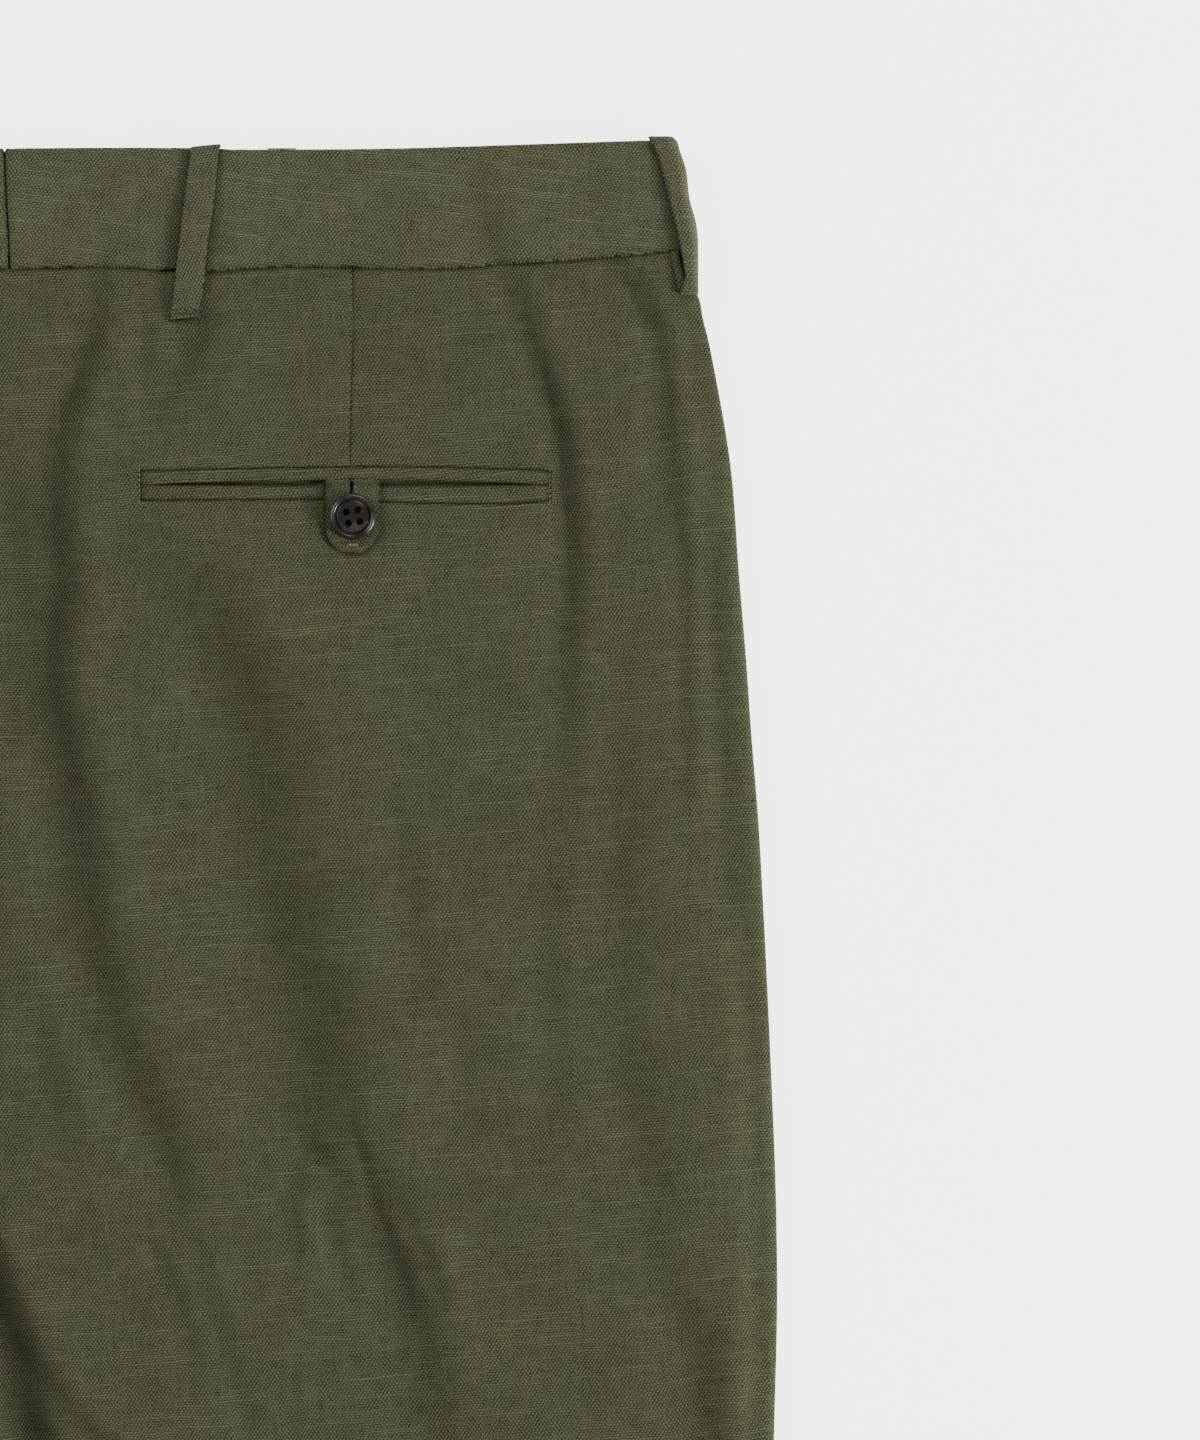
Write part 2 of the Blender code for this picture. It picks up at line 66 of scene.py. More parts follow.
Object, Material, Mesh = bpy.types.Object, bpy.types.Material, bpy.types.Mesh

MM = 0.001
BODY = "root"
CAD_BOX = [list(corner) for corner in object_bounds()]


class Side(Enum):
    """The wearer's side that a piece belongs to."""

    RIGHT = "right"
    LEFT = "left"

    @property
    def sign(self) -> int:
        """+1 on the right, -1 on the left."""
        return 1 if self is Side.RIGHT else -1

    def points(self, across: Number, down: Number, height: Number) -> np.ndarray:
        """Join places, mirrored on the left, into points of (signed across, down, height)."""
        return np.stack(np.broadcast_arrays(self.sign * np.asarray(across), down, height), axis=-1)


class Layer(Enum):
    """Which layer of the laid garment a panel belongs to."""

    BACK = "back"
    FRONT = "front"


@dataclass(frozen=True)
class Line:
    """A smooth curve through rows of a place and its values."""

    rows: tuple

    def __call__(self, place: Number, column: int = 1) -> np.ndarray:
        """Read the curve.

        Args:
            place: Where to read it.
            column: The column of the rows that holds the value.

        Returns:
            The values at those places, held level past both ends.
        """
        places, values = np.array(self.rows, float)[:, [0, column]].T
        slopes = np.gradient(values, places)
        place = np.clip(np.asarray(place, float), places[0], places[-1])
        left = np.clip(np.searchsorted(places, place, side="right") - 1, 0, len(places) - 2)
        span = places[left + 1] - places[left]
        t = (place - places[left]) / span
        start = (1 + 2 * t) * (1 - t) ** 2 * values[left] + t * (1 - t) ** 2 * span * slopes[left]
        end = t * t * (3 - 2 * t) * values[left + 1] + t * t * (t - 1) * span * slopes[left + 1]
        return start + end


@dataclass(frozen=True)
class Crease(Line):
    """A soft trough in the cloth. Its rows are (down, across, depth, width)."""

    def relief(self, across: np.ndarray, down: np.ndarray) -> np.ndarray:
        """Height that the crease adds at each place: a trough between two low ridges.

        Args:
            across: Distances from the centre back, mirrored on the left.
            down: Distances below the waistband's top edge.

        Returns:
            The heights, below 0 in the trough and above 0 on its ridges.
        """
        depth = np.maximum(self(down, 2), 0.0)
        inside = (down >= self.rows[0][0]) & (down <= self.rows[-1][0])
        u = np.abs(across - self(down)) / self(down, 3)
        return np.where(inside, depth, 0.0) * (0.42 * u * u - 1) * np.exp(-0.55 * u ** 1.75)


# The garment's own sizes.
LENGTH = 1048.0
CROTCH_DOWN = 300.0
BAND_HEIGHT = 39.0
PLY = 0.9                # one cloth ply as it shows
BAND_PLY = 2.0
EDGE_ROUND = 0.42        # share of a ply by which its rounded edge stands past the middle's end
SEAM_GAP = 0.05          # half the gap between two pieces that meet in a seam
LOOP_GAP = 0.1
FRONT_LIFT = 1.6         # rise of the front cloth up to the waistband
BAND_FRONT_MID = FRONT_LIFT + BAND_PLY / 2
BAND_BACK_MID = 6.3
EDGE_MID = 6.0
LOWEST_LIE = 2.4         # height of the back cloth where it touches the front cloth
RELIEF_FLAT = 6.2        # the relief where no crease is
RECESS = 1.7             # depth of the back cloth's dip under the welts
DARKEST = 1.9            # the most shade that the linen's colour can take

# Outlines and seams of the panels and the waistband.
SIDE_LINE = Line(((37, 228.7), (44, 229.5), (48, 230.5), (50, 231.5), (56, 232.6), (64, 234.6), (76, 237.0),
                  (104, 241.8), (144, 245.0), (170, 247.2), (197, 249.1), (224, 251.3), (250, 252.8),
                  (304, 255.4), (350, 257.2), (384, 257.6), (424, 256.7), (600, 250.0), (800, 243.0),
                  (LENGTH, 238.0)))
SEAT_LINE = Line(((30, 0.6), (40, 0.4), (56, -1.7), (110, -7.0), (180, -11.0), (250, -14.5),
                  (CROTCH_DOWN, -16.0)))
FRONT_CENTRE_LINE = Line(((30, 0.0), (150, 0.0), (230, -5.0), (CROTCH_DOWN, -16.0)))
INNER_LINES = {
    Side.RIGHT: Line(((CROTCH_DOWN, -16.0), (360, -19.0), (431, -18.0), (500, -10.0), (560, -1.0),
                      (640, 10.0), (800, 31.0), (LENGTH, 47.0))),
    Side.LEFT: Line(((CROTCH_DOWN, -16.0), (360, -19.0), (431, -18.5), (500, -14.5), (560, -12.5),
                     (640, -15.0), (800, -31.0), (LENGTH, -47.0))),
}
CENTRE_BACK_LINE = Line(((0, -0.3), (16, 0.4), (37, 1.3), (BAND_HEIGHT, 1.3)))
BAND_TOP_LINE = Line(((0, 0.8), (50, 0.6), (68, 0.8), (76, 1.1), (97, 1.1), (115, 1.0), (135, 0.7),
                      (160, -0.1), (185, -0.9), (205, -1.6), (232, -2.3)))
BAND_BOTTOM_LINE = Line(((0, 39.7), (33, 39.0), (66, 40.4), (88, 39.1), (150, 39.3), (170, 37.9),
                         (197, 36.2), (216, 34.4), (232, 33.6)))
BAND_SIDE_LINE = Line(((0, 223.4), (20, 226.2), (BAND_HEIGHT, 229.0)))

# The pocket and the dart above it.
POCKET_START = 45.3
POCKET_END = 181.3
WELT_TOP = 107.0
WELT_BOTTOM = 117.8
TAB_CENTRE = 115.8
WELT_TOP_LINE = Line(((45.3, 107.8), (100, 106.7), (140, 106.5), (181.3, 107.6)))
MOUTH_TOP_LINE = Line(((45.3, 112.2), (62, 111.5), (90, 110.9), (150, 110.9), (170, 111.6), (181.3, 112.2)))
MOUTH_BOTTOM_LINE = Line(((45.3, 112.6), (62, 112.8), (90, 113.0), (150, 112.9), (170, 112.7), (181.3, 112.6)))
WELT_BOTTOM_LINE = Line(((45.3, 117.5), (100, 117.2), (150, 118.6), (168, 118.6), (181.3, 117.6)))
DART_LINE = Line(((36, 115.4), (60, 115.8), (85, 115.2), (107, 114.9)))

CREASES = {
    Side.RIGHT: tuple(map(Crease, (
        ((36, 34.5, 1.5, 4.2), (57, 30, 2.8, 4.2), (72, 26, 2.8, 4.8), (87, 20, 2.6, 5.2),
         (101, 16.7, 2.7, 5.67), (117, 15.8, 3.4, 6.1), (131, 17, 3.85, 6.3), (144, 17.6, 3.75, 6.5),
         (161, 16, 3.9, 6.5), (177, 15.5, 4.05, 6.8), (194, 17, 3.9, 7.2), (211, 19.8, 3.6, 7.8),
         (227, 22, 3.3, 8.3), (244, 24, 3.0, 8.6), (261, 27, 2.75, 8.9), (277, 30.8, 2.75, 8.9),
         (294, 35.8, 2.6, 8.7), (311, 41.8, 2.5, 8.2), (327, 49, 2.1, 7.29), (344, 55, 1.25, 6.75),
         (368, 60, 0, 5)),
        ((120, 46, 0, 12.42), (134, 53, 1, 13.8), (147, 63, 1.83, 14.49), (161, 71, 2.4, 14.49),
         (177, 77.5, 2.6, 14.49), (194, 81.5, 2.4, 14.0), (211, 84, 2.3, 14.0), (227, 86, 2.15, 13.4),
         (244, 89, 2.35, 13.4), (261, 93, 2.5, 12.9), (274, 96, 2.8, 12.5), (291, 101, 2.5, 13.39),
         (307, 103, 2.3, 13.39), (324, 106, 2.1, 12.8), (337, 112, 1.9, 11.6), (351, 118, 2.1, 10.6),
         (361, 123.5, 2.5, 9.9), (374, 129.5, 2.8, 9.4), (391, 134.5, 2.8, 9.2), (407, 138.5, 2.2, 9.4),
         (424, 141, 1.3, 10), (470, 148, 0, 8)),
        ((34, 165, 1.28, 3.81), (44, 168, 2.08, 3.81), (57, 173, 2.72, 3.92), (71, 177.3, 3.12, 4.14),
         (84, 181.6, 3.36, 4.26), (97, 184.8, 3.36, 4.26), (114, 186.3, 3.12, 4.37), (131, 187.6, 2.8, 4.59),
         (147, 187, 2.4, 4.7), (164, 185.8, 1.92, 4.93), (184, 185.3, 1.44, 5.15), (204, 184.9, 0.96, 5.6),
         (232, 184.5, 0, 6.72)),
        ((34, 202, 1.61, 3.6), (39, 205, 2.76, 3.6), (51, 212, 3.68, 3.6), (61, 217, 3.45, 3.8),
         (77, 219, 2.07, 4.6), (101, 220, 2.07, 6), (122, 222, 1.15, 6), (150, 224, 0, 6)),
        ((100, 232, 0, 4), (147, 237, 1.6, 4.4), (184, 239, 1.6, 4.4), (224, 240.5, 1.6, 4.4),
         (262, 243, 1.0, 4.6), (300, 245, 0, 5)),
        ((112, 222, 0, 2.4), (128, 225, 1.0, 2.4), (165, 225.5, 1.0, 2.4), (204, 226, 0.8, 2.4),
         (228, 227, 0, 2.4)),
        ((96, 0, 0, 6), (118, 3, 2.0, 6.5), (150, 4, 2.2, 7), (185, 3, 1.8, 7), (215, 3, 0, 7)),
        ((275, 8, 0, 5), (295, 12, 0.9, 5), (318, 16, 0.9, 5), (345, 20, 0, 5)),
        ((338, -14, 0, 5.4), (356, -11, 2.6, 5.8), (371, -7, 5.0, 6.4), (391, -1.5, 5.9, 7.0),
         (404, 2.5, 5.9, 7.4), (421, 6, 5.6, 7.8), (440, 12, 4.9, 8.3), (480, 31, 3.72, 9.18),
         (540, 55, 2.23, 11.34), (610, 78, 0, 12.96)),
        ((396, 4, 0, 4.5), (411, 14, 1.5, 5), (427, 26, 1.8, 5.4), (448, 40, 1.6, 6), (490, 60, 0, 7)),
        ((292, 196, 0, 5), (311, 205, 0.7, 7.25), (344, 215.5, 0.95, 7.25), (365, 218, 1.05, 7.25),
         (377, 221, 1.3, 6.9), (397, 228, 1.7, 7.66), (410, 231, 1.95, 7.66), (424, 232.5, 1.95, 8),
         (445, 235.5, 1.5, 8.7), (480, 239, 0.93, 10.44), (530, 242, 0, 13.92)),
        ((210, 130, 0, 5), (224, 131, 0.6, 5.4), (250, 134, 0.85, 5.6), (277, 137, 0.75, 5.6),
         (300, 141, 0, 5)),
        ((280, 146, 0, 5), (291, 149, 0.5, 5.5), (310, 153, 0.7, 5.5), (324, 156, 0.5, 5.5), (340, 160, 0, 5)),
        ((224, 178, 0, 4.5), (260, 180, 0.5, 5), (324, 182, 0.4, 5), (350, 184, 0, 5)),
        ((48, 48, 0, 3), (62, 46.5, 1.3, 3), (76, 47, 1.0, 3), (92, 47, 0, 3)),
        ((50, 68, 0, 4.4), (58, 66, 2.2, 4.6), (70, 61, 2.0, 5), (81, 54, 1.2, 5), (96, 50, 0, 5)),
        ((356, 46, 0, 3.2), (367, 50, 1.0, 3.4), (384, 57, 1.0, 3.6), (400, 62, 0.7, 3.6), (412, 65, 0, 3.4)),
        ((360, 63, 0, 3.2), (371, 65, 0.6, 3.4), (390, 70, 0.85, 3.6), (411, 77, 0.85, 3.8), (430, 81, 0.8, 4),
         (470, 88, 0, 4)),
        ((312, 92, 0, 3.6), (326, 98, 1.2, 3.6), (338, 106, 1.3, 3.6), (346, 113, 0, 3.6)),
        ((328, 108, 0, 3.4), (336, 99, 1.1, 3.4), (352, 96, 1.0, 3.4), (366, 98, 0, 3.4)),
        ((344, 110, 0, 3), (356, 108, 1.4, 3.2), (372, 112, 1.2, 3.2), (392, 118, 0, 3.2)),
        ((470, 150, 0, 8), (560, 122, 2.8, 10), (640, 118, 3.4, 11), (720, 138, 2.6, 12), (815, 158, 0, 12)),
        ((560, 60, 0, 9), (640, 84, 2.4, 10), (720, 128, 2.4, 11), (800, 160, 0, 12)),
        ((700, 205, 0, 12), (800, 196, 2.4, 13), (900, 170, 2.2, 13), (1000, 150, 0, 14)),
        ((660, 34, 0, 10), (760, 60, 2.2, 12), (860, 92, 2.2, 12), (990, 104, 0, 14)),
        ((880, 120, 0, 9), (930, 112, 1.6, 9), (1000, 100, 1.6, 10), (LENGTH, 96, 1.0, 10)),
        ((318, 112.5, 0, 2.53), (330, 117, 0.91, 2.53), (352, 124, 1.19, 2.76), (372, 131, 0.98, 2.76),
         (392, 137, 0, 2.76)),
        ((326, 84, 0, 2.76), (342, 88, 0.77, 2.76), (360, 95, 0.84, 2.99), (380, 98, 0, 2.99)),
        ((336, 124, 0, 2.53), (352, 132, 0.7, 2.53), (372, 141, 0.84, 2.99), (396, 150, 0, 3.45)),
        ((150, 205, 0, 5), (200, 204, 0.9, 6), (270, 205, 0.9, 7), (340, 208, 0, 8)),
    ))),
    Side.LEFT: tuple(map(Crease, (
        ((36, 41, 1.12, 4.5), (70, 33, 2.12, 5.4), (104, 27, 3.08, 5.67), (140, 26, 4.44, 6.48),
         (176, 28, 4.63, 6.75), (215, 36, 4.04, 7.56), (255, 47, 3.27, 8.37), (300, 62, 2.7, 8.64),
         (345, 78, 1.93, 8.1), (388, 86, 0, 8.1)),
        ((118, 60, 0, 11.88), (150, 76, 2.02, 13.2), (185, 92, 2.86, 13.2), (235, 99, 2.35, 11.88),
         (285, 110, 3.37, 11.22), (325, 122, 3.2, 10.56), (372, 140, 3.37, 7.13), (415, 152, 2.69, 6.86),
         (500, 160, 0, 10.56)),
        ((34, 158, 1.22, 3.81), (56, 167, 2.91, 3.7), (82, 178, 3.67, 3.7), (112, 187, 3.37, 4.03),
         (150, 191, 2.45, 4.7), (200, 190, 1.38, 5.6), (262, 186, 0, 5.6)),
        ((34, 198, 1.4, 3.6), (54, 208, 3.0, 3.8), (74, 217, 2.4, 4.4), (104, 224, 1.4, 5), (150, 229, 0, 5)),
        ((120, 234, 0, 4), (160, 238, 1.5, 4.4), (215, 242, 1.5, 4.4), (280, 244, 1.0, 5), (345, 246, 0, 5)),
        ((100, 2, 0, 6), (130, 5, 1.8, 7), (180, 4, 1.8, 7), (225, 3, 0, 7)),
        ((348, 32, 0, 6), (385, 42, 3.6, 6), (430, 54, 4.4, 6.5), (480, 72, 3.4, 8), (540, 94, 2.0, 10),
         (610, 112, 0, 12)),
        ((322, 204, 0, 5), (370, 219, 2.0, 5), (412, 232, 3.6, 4.8), (460, 238, 2.4, 6), (540, 242, 0, 8)),
        ((230, 140, 0, 4), (262, 144, 1.2, 4.4), (300, 150, 1.0, 5), (330, 154, 0, 5)),
        ((54, 62, 0, 4), (66, 66, 2.0, 4.5), (82, 66, 1.4, 5), (108, 62, 0, 5)),
        ((300, 30, 0, 4), (330, 36, 1.5, 4), (352, 42, 1.1, 4), (380, 52, 0, 4)),
        ((330, 96, 0, 3.4), (344, 104, 1.6, 3.4), (362, 106, 1.3, 3.4), (384, 112, 0, 3.4)),
        ((500, 164, 0, 9), (580, 140, 2.6, 10), (650, 128, 3.2, 11), (740, 146, 2.3, 12), (850, 152, 0, 13)),
        ((585, 76, 0, 9), (650, 96, 2.4, 10), (735, 134, 2.4, 11), (810, 158, 0, 12)),
        ((690, 210, 0, 12), (790, 200, 2.3, 13), (900, 180, 2.2, 13), (1010, 160, 0, 14)),
        ((680, 40, 0, 10), (770, 66, 2.1, 12), (880, 88, 2.1, 12), (1000, 100, 0, 14)),
    ))),
}
BAND_CREASES = tuple(map(Crease, (
    ((-6, 158, 0.3, 5), (14, 158, 0.7, 5), (28, 161, 0.9, 5), (42, 165, 0.9, 4.5)),
    ((-6, 196, 0.1, 6), (20, 198, 0.4, 6), (42, 202, 0.6, 5)),
    ((-6, 34, 0.1, 6), (22, 34, 0.4, 6), (42, 33, 0.6, 5)),
)))


# ------------------------------------------------------------------------------- form


def ease(value: Number, low: Number, high: Number) -> np.ndarray:
    """Rise smoothly from 0 at low to 1 at high."""
    t = np.clip((np.asarray(value, float) - low) / (high - low), 0.0, 1.0)
    return t * t * (3 - 2 * t)


def bell(value: Number, width: float, steepness: float = 0.5) -> np.ndarray:
    """Fall smoothly from 1 at no distance towards 0 on both sides."""
    return np.exp(-steepness * (value / width) ** 2)


def relief_of(creases: Sequence[Crease], across: np.ndarray, down: np.ndarray) -> np.ndarray:
    """Height that all the creases add at each place."""
    return sum(crease.relief(across, down) for crease in creases)


def crumple(across: np.ndarray, down: np.ndarray, phase: float) -> np.ndarray:
    """Faint uneven waves, the same every time, that no cloth laid by hand is without.

    Args:
        across: Distances from the centre back, mirrored on the left.
        down: Distances below the waistband's top edge.
        phase: Moves the waves, so that two sheets differ.

    Returns:
        The heights, within about 0.55 of 0.
    """
    broad = np.sin(across / 17.0 + 1.3 * np.sin(down / 61.0 + phase) + phase)
    broad = broad * np.sin(down / 43.0 + 0.9 * np.sin(across / 37.0) + 2.1 * phase)
    small = np.sin(across / 6.3 + 1.7 * np.sin(down / 23.0 + 2 * phase))
    small = small * np.sin(down / 19.0 + 1.1 * np.sin(across / 11.0) - phase)
    return 0.42 * broad + 0.13 * small


def front_mid(down: np.ndarray) -> np.ndarray:
    """Height of the middle of the front cloth: lifted near the waist, flat below."""
    return PLY / 2 + FRONT_LIFT * (1 - ease(down, 64.0, 112.0))


def back_edge_mid(down: np.ndarray) -> np.ndarray:
    """Height of the middle of the back cloth beside its rounded edges."""
    below_band = BAND_BACK_MID - 0.5
    return below_band + (EDGE_MID - below_band) * ease(down, 38.0, 90.0)


def band_shift(across: np.ndarray, down: np.ndarray) -> np.ndarray:
    """Move the panels' top rows with the waistband's lower seam."""
    return (BAND_BOTTOM_LINE(np.abs(across)) - BAND_HEIGHT) * (1 - ease(down, 40.0, 104.0))


def curl(down: np.ndarray) -> np.ndarray:
    """How far the cloth rounds down at the centre seams, from the seat to the crotch."""
    return ease(down, 190.0, CROTCH_DOWN)


def over_pocket(across: np.ndarray, margin: float) -> np.ndarray:
    """1 along the pocket, falling to 0 within the margin past its ends."""
    past_end = ease(across, POCKET_END, POCKET_END + margin)
    return ease(across, POCKET_START - margin, POCKET_START) * (1 - past_end)


def pocket_recess(across: np.ndarray, down: np.ndarray) -> np.ndarray:
    """Depth by which the back cloth dips under the pocket's welts.

    Args:
        across: Distances from the centre back, mirrored on the left.
        down: Distances below the waistband's top edge.

    Returns:
        The depths, 0 away from the pocket.
    """
    depth = ease(down - WELT_TOP_LINE(across), -0.55, 0.1)
    depth = depth * (1 - ease(down - WELT_BOTTOM_LINE(across), -0.1, 0.55))
    return RECESS * over_pocket(across, 0.7) * depth


def pocket_shift(across: np.ndarray, down: np.ndarray) -> np.ndarray:
    """Move the rows beside the pocket onto its curved upper and lower seams.

    Args:
        across: Distances from the centre back, mirrored on the left.
        down: Distances below the waistband's top edge.

    Returns:
        How far down each place moves, 0 away from the pocket.
    """
    moves = ((line(across) - level) * (1 - ease(np.abs(down - level), 1.2, 4.6))
             for line, level in ((WELT_TOP_LINE, WELT_TOP), (WELT_BOTTOM_LINE, WELT_BOTTOM)))
    return over_pocket(across, 8) * sum(moves)


def dart_dip(across: np.ndarray, down: np.ndarray) -> np.ndarray:
    """Depth of the dart's seam, from the waistband down to the pocket."""
    u = across - DART_LINE(down)
    return (1 - ease(down, 104.0, 107.5)) * (0.45 * bell(u, 0.3) + 0.32 * ease(u, -0.3, 0.3) * bell(u, 5.0))


def seam_shade(across: np.ndarray, down: np.ndarray) -> np.ndarray:
    """Darkness in the ditches of the pocket's seams and of the dart, where little light falls.

    Args:
        across: Distances from the centre back, mirrored on the left.
        down: Distances below the waistband's top edge.

    Returns:
        The shades, 0 where no seam is near.
    """
    ditch = 0.32
    top, bottom = WELT_TOP_LINE(across), WELT_BOTTOM_LINE(across)
    seams = bell(down - top + 0.12, ditch) + 0.9 * bell(down - bottom - 0.12, ditch)
    tall = ease(down, top - 0.3, top) * (1 - ease(down, bottom, bottom + 0.3))
    ends = bell(across - POCKET_START, ditch) + bell(across - POCKET_END, ditch)
    beside = across - DART_LINE(down)
    dart = bell(beside, ditch) + 0.22 * ease(beside, -0.2, 0.2) * np.exp(-np.abs(beside) / 3.0)
    dart = dart * (1 - ease(down, 104, 107))
    return (DARKEST * over_pocket(across, 0.6) * seams + 1.6 * tall * ends + 0.85 * dart
            + hole_shade(across, down))


def hole_shade(across: np.ndarray, down: np.ndarray) -> np.ndarray:
    """Painted shade seen through the open buttonhole of the pocket's tab, and a painted shadow close round the
    tab.

    Args:
        across: Distances from the centre back, mirrored on the left.
        down: Distances below the waistband's top edge.

    Returns:
        The shades, 0 away from the tab.
    """
    hole = DARKEST * bell(across - TAB_CENTRE, 0.9) * ease(down, 109, 110.6) * (1 - ease(down, 118, 121))
    past = np.hypot(across - TAB_CENTRE, np.maximum(down - 126.2, 0.0)) - 8.6
    return hole + 0.42 * bell(np.maximum(past, 0.0), 2.3, 1.0) * ease(down, 111.5, 116.0)


def crease_shade(side: Side, across: np.ndarray, down: np.ndarray) -> np.ndarray:
    """Painted shade for each place: darker the deeper it lies in a fold or seam, slightly lighter on the
    creases' ridges.
    """
    depth = np.clip(-relief_of(CREASES[side], across, down) / 5.0, -0.12, 1.0)
    return np.minimum(depth + seam_shade(across, down), DARKEST)


def back_height(side: Side, across: np.ndarray, down: np.ndarray, pocket: bool = True) -> np.ndarray:
    """Height of the middle of the back cloth.

    Args:
        side: The half of the garment.
        across: Distances from the centre back, mirrored on the left.
        down: Distances below the waistband's top edge.
        pocket: Whether the cloth dips under the pocket's welts.

    Returns:
        Heights above the surface that the garment lies on.
    """
    least, softness = 0.35, 1.8
    relief = RELIEF_FLAT + relief_of(CREASES[side], across, down)
    relief = relief + crumple(across, down, 0.4 if side is Side.RIGHT else 1.9) * ease(down, 40, 70)
    relief = least + np.logaddexp(0.0, softness * (relief - least)) / softness
    tucked, full = BAND_BACK_MID - 1.7, BAND_BACK_MID - 0.35
    below_band = tucked + (full - tucked) * ease(down, 38.4, 42.4)
    slump = ease(down, 40.0, 92.0)
    height = below_band + (LOWEST_LIE + relief - below_band) * slump
    near = (relief - RELIEF_FLAT) * 0.45 * ease(down, 39.0, 46.0) * (1 - slump)
    height = height + near - dart_dip(across, down)
    return height - pocket_recess(across, down) if pocket else height


# ------------------------------------------------------------------------- mesh making


def metres(points: np.ndarray) -> np.ndarray:
    """Turn points of (signed across, down, height) into X, Y and Z in metres, with the hem in its place."""
    across, down, height = np.moveaxis(np.asarray(points, float), -1, 0)
    return np.stack([across * MM, CAD_BOX[0][1] + (LENGTH - down) * MM, height * MM], axis=-1)


def normals_of(mid: np.ndarray, upward: Sequence[float] = (0.0, 0.0, 1.0),
               column: Optional[int] = None) -> np.ndarray:
    """Unit normals of a grid of middle points.

    Args:
        mid: The grid.
        upward: Roughly where the outer face looks.
        column: The column whose normals decide for their whole rows. Each decides for itself if left out.

    Returns:
        The normals, towards the outer face.
    """
    normal = np.cross(np.gradient(mid, axis=1), np.gradient(mid, axis=0))
    normal = normal / np.maximum(np.linalg.norm(normal, axis=2, keepdims=True), 1e-12)
    facing = np.sum(normal * np.asarray(upward), axis=2, keepdims=True)
    return normal * np.sign(facing if column is None else facing[:, column:column + 1])


def steps_along(mid: np.ndarray, axis: int) -> np.ndarray:
    """Length of cloth from each point to the next one down (axis 0) or across (axis 1)."""
    return np.linalg.norm(np.diff(mid, axis=axis), axis=2)


def run_along(mid: np.ndarray, axis: int) -> np.ndarray:
    """Length of cloth from the grid's first row (axis 0) or column (axis 1) to each point."""
    return np.insert(np.cumsum(steps_along(mid, axis), axis=axis), 0, 0.0, axis=axis)


def surface_uv(mid: np.ndarray, grain: float, weft: float = 0.0, warp: float = 0.0) -> np.ndarray:
    """Lay the weave on a grid of points.

    Args:
        mid: The grid, whose rows run across and whose columns run down.
        grain: Angle in radians by which the weft climbs towards the end of a row.
        weft: Place along the weft, in millimetres, where the grid's middle starts.
        warp: Place along the warp.

    Returns:
        The place of each point along the weft and the warp, in millimetres.
    """
    middle = slice(mid.shape[1] // 2, mid.shape[1] // 2 + 1)
    across = run_along(mid, 1)
    across = across - across[:, middle] + mid[:, middle, 0]
    along = run_along(mid, 0) + mid[:1, :, 1]
    return np.stack([across * math.cos(grain) - along * math.sin(grain) + weft,
                     across * math.sin(grain) + along * math.cos(grain) + warp], axis=-1)


def linked(name: str, data: bpy.types.ID) -> Object:
    """Put an object with this data into the scene.

    Args:
        name: The object's name.
        data: Its mesh, light or camera.

    Returns:
        The new object.
    """
    made = bpy.data.objects.new(name, data)
    bpy.context.scene.collection.objects.link(made)
    return made


def face_outwards(mesh: Mesh) -> None:
    """Turn every face of a closed mesh outwards.

    Args:
        mesh: The mesh to turn.
    """
    work = bmesh.new()
    work.from_mesh(mesh)
    bmesh.ops.recalc_face_normals(work, faces=work.faces[:])
    if work.calc_volume(signed=True) < 0:
        bmesh.ops.reverse_faces(work, faces=work.faces[:])
    work.to_mesh(mesh)
    work.free()


def make_object(name: str, points: np.ndarray, faces: Sequence[Sequence[int]], material: Material,
                uv: Optional[np.ndarray] = None, painted_shade: Optional[np.ndarray] = None) -> Object:
    """Make a smooth-shaded object with its place in its mesh.

    Args:
        name: The object's name.
        points: Points of (signed across, down, height) in millimetres.
        faces: Point numbers of each face.
        material: Its only material.
        uv: A place in the weave for each point, if it has one.
        painted_shade: Painted shade of each point, from its folds, seams and the shadows of trims, given with
            uv.

    Returns:
        The new object.
    """
    mesh = bpy.data.meshes.new(name)
    mesh.from_pydata(metres(points).tolist(), [], faces)
    if uv is not None:
        corners = np.empty(len(mesh.loops), dtype=np.int32)
        mesh.loops.foreach_get("vertex_index", corners)
        mesh.uv_layers.new(name="grain").data.foreach_set("uv", uv.astype(np.float32)[corners].ravel())
        # This attribute holds painted shade, which darkens the linen's colour in folds, seams and beside trims.
        mesh.attributes.new("painted_shade", "FLOAT", "POINT").data.foreach_set("value", painted_shade.astype(np.float32))
    mesh.materials.append(material)
    made = linked(name, mesh)
    face_outwards(mesh)
    mesh.shade_smooth()
    return made


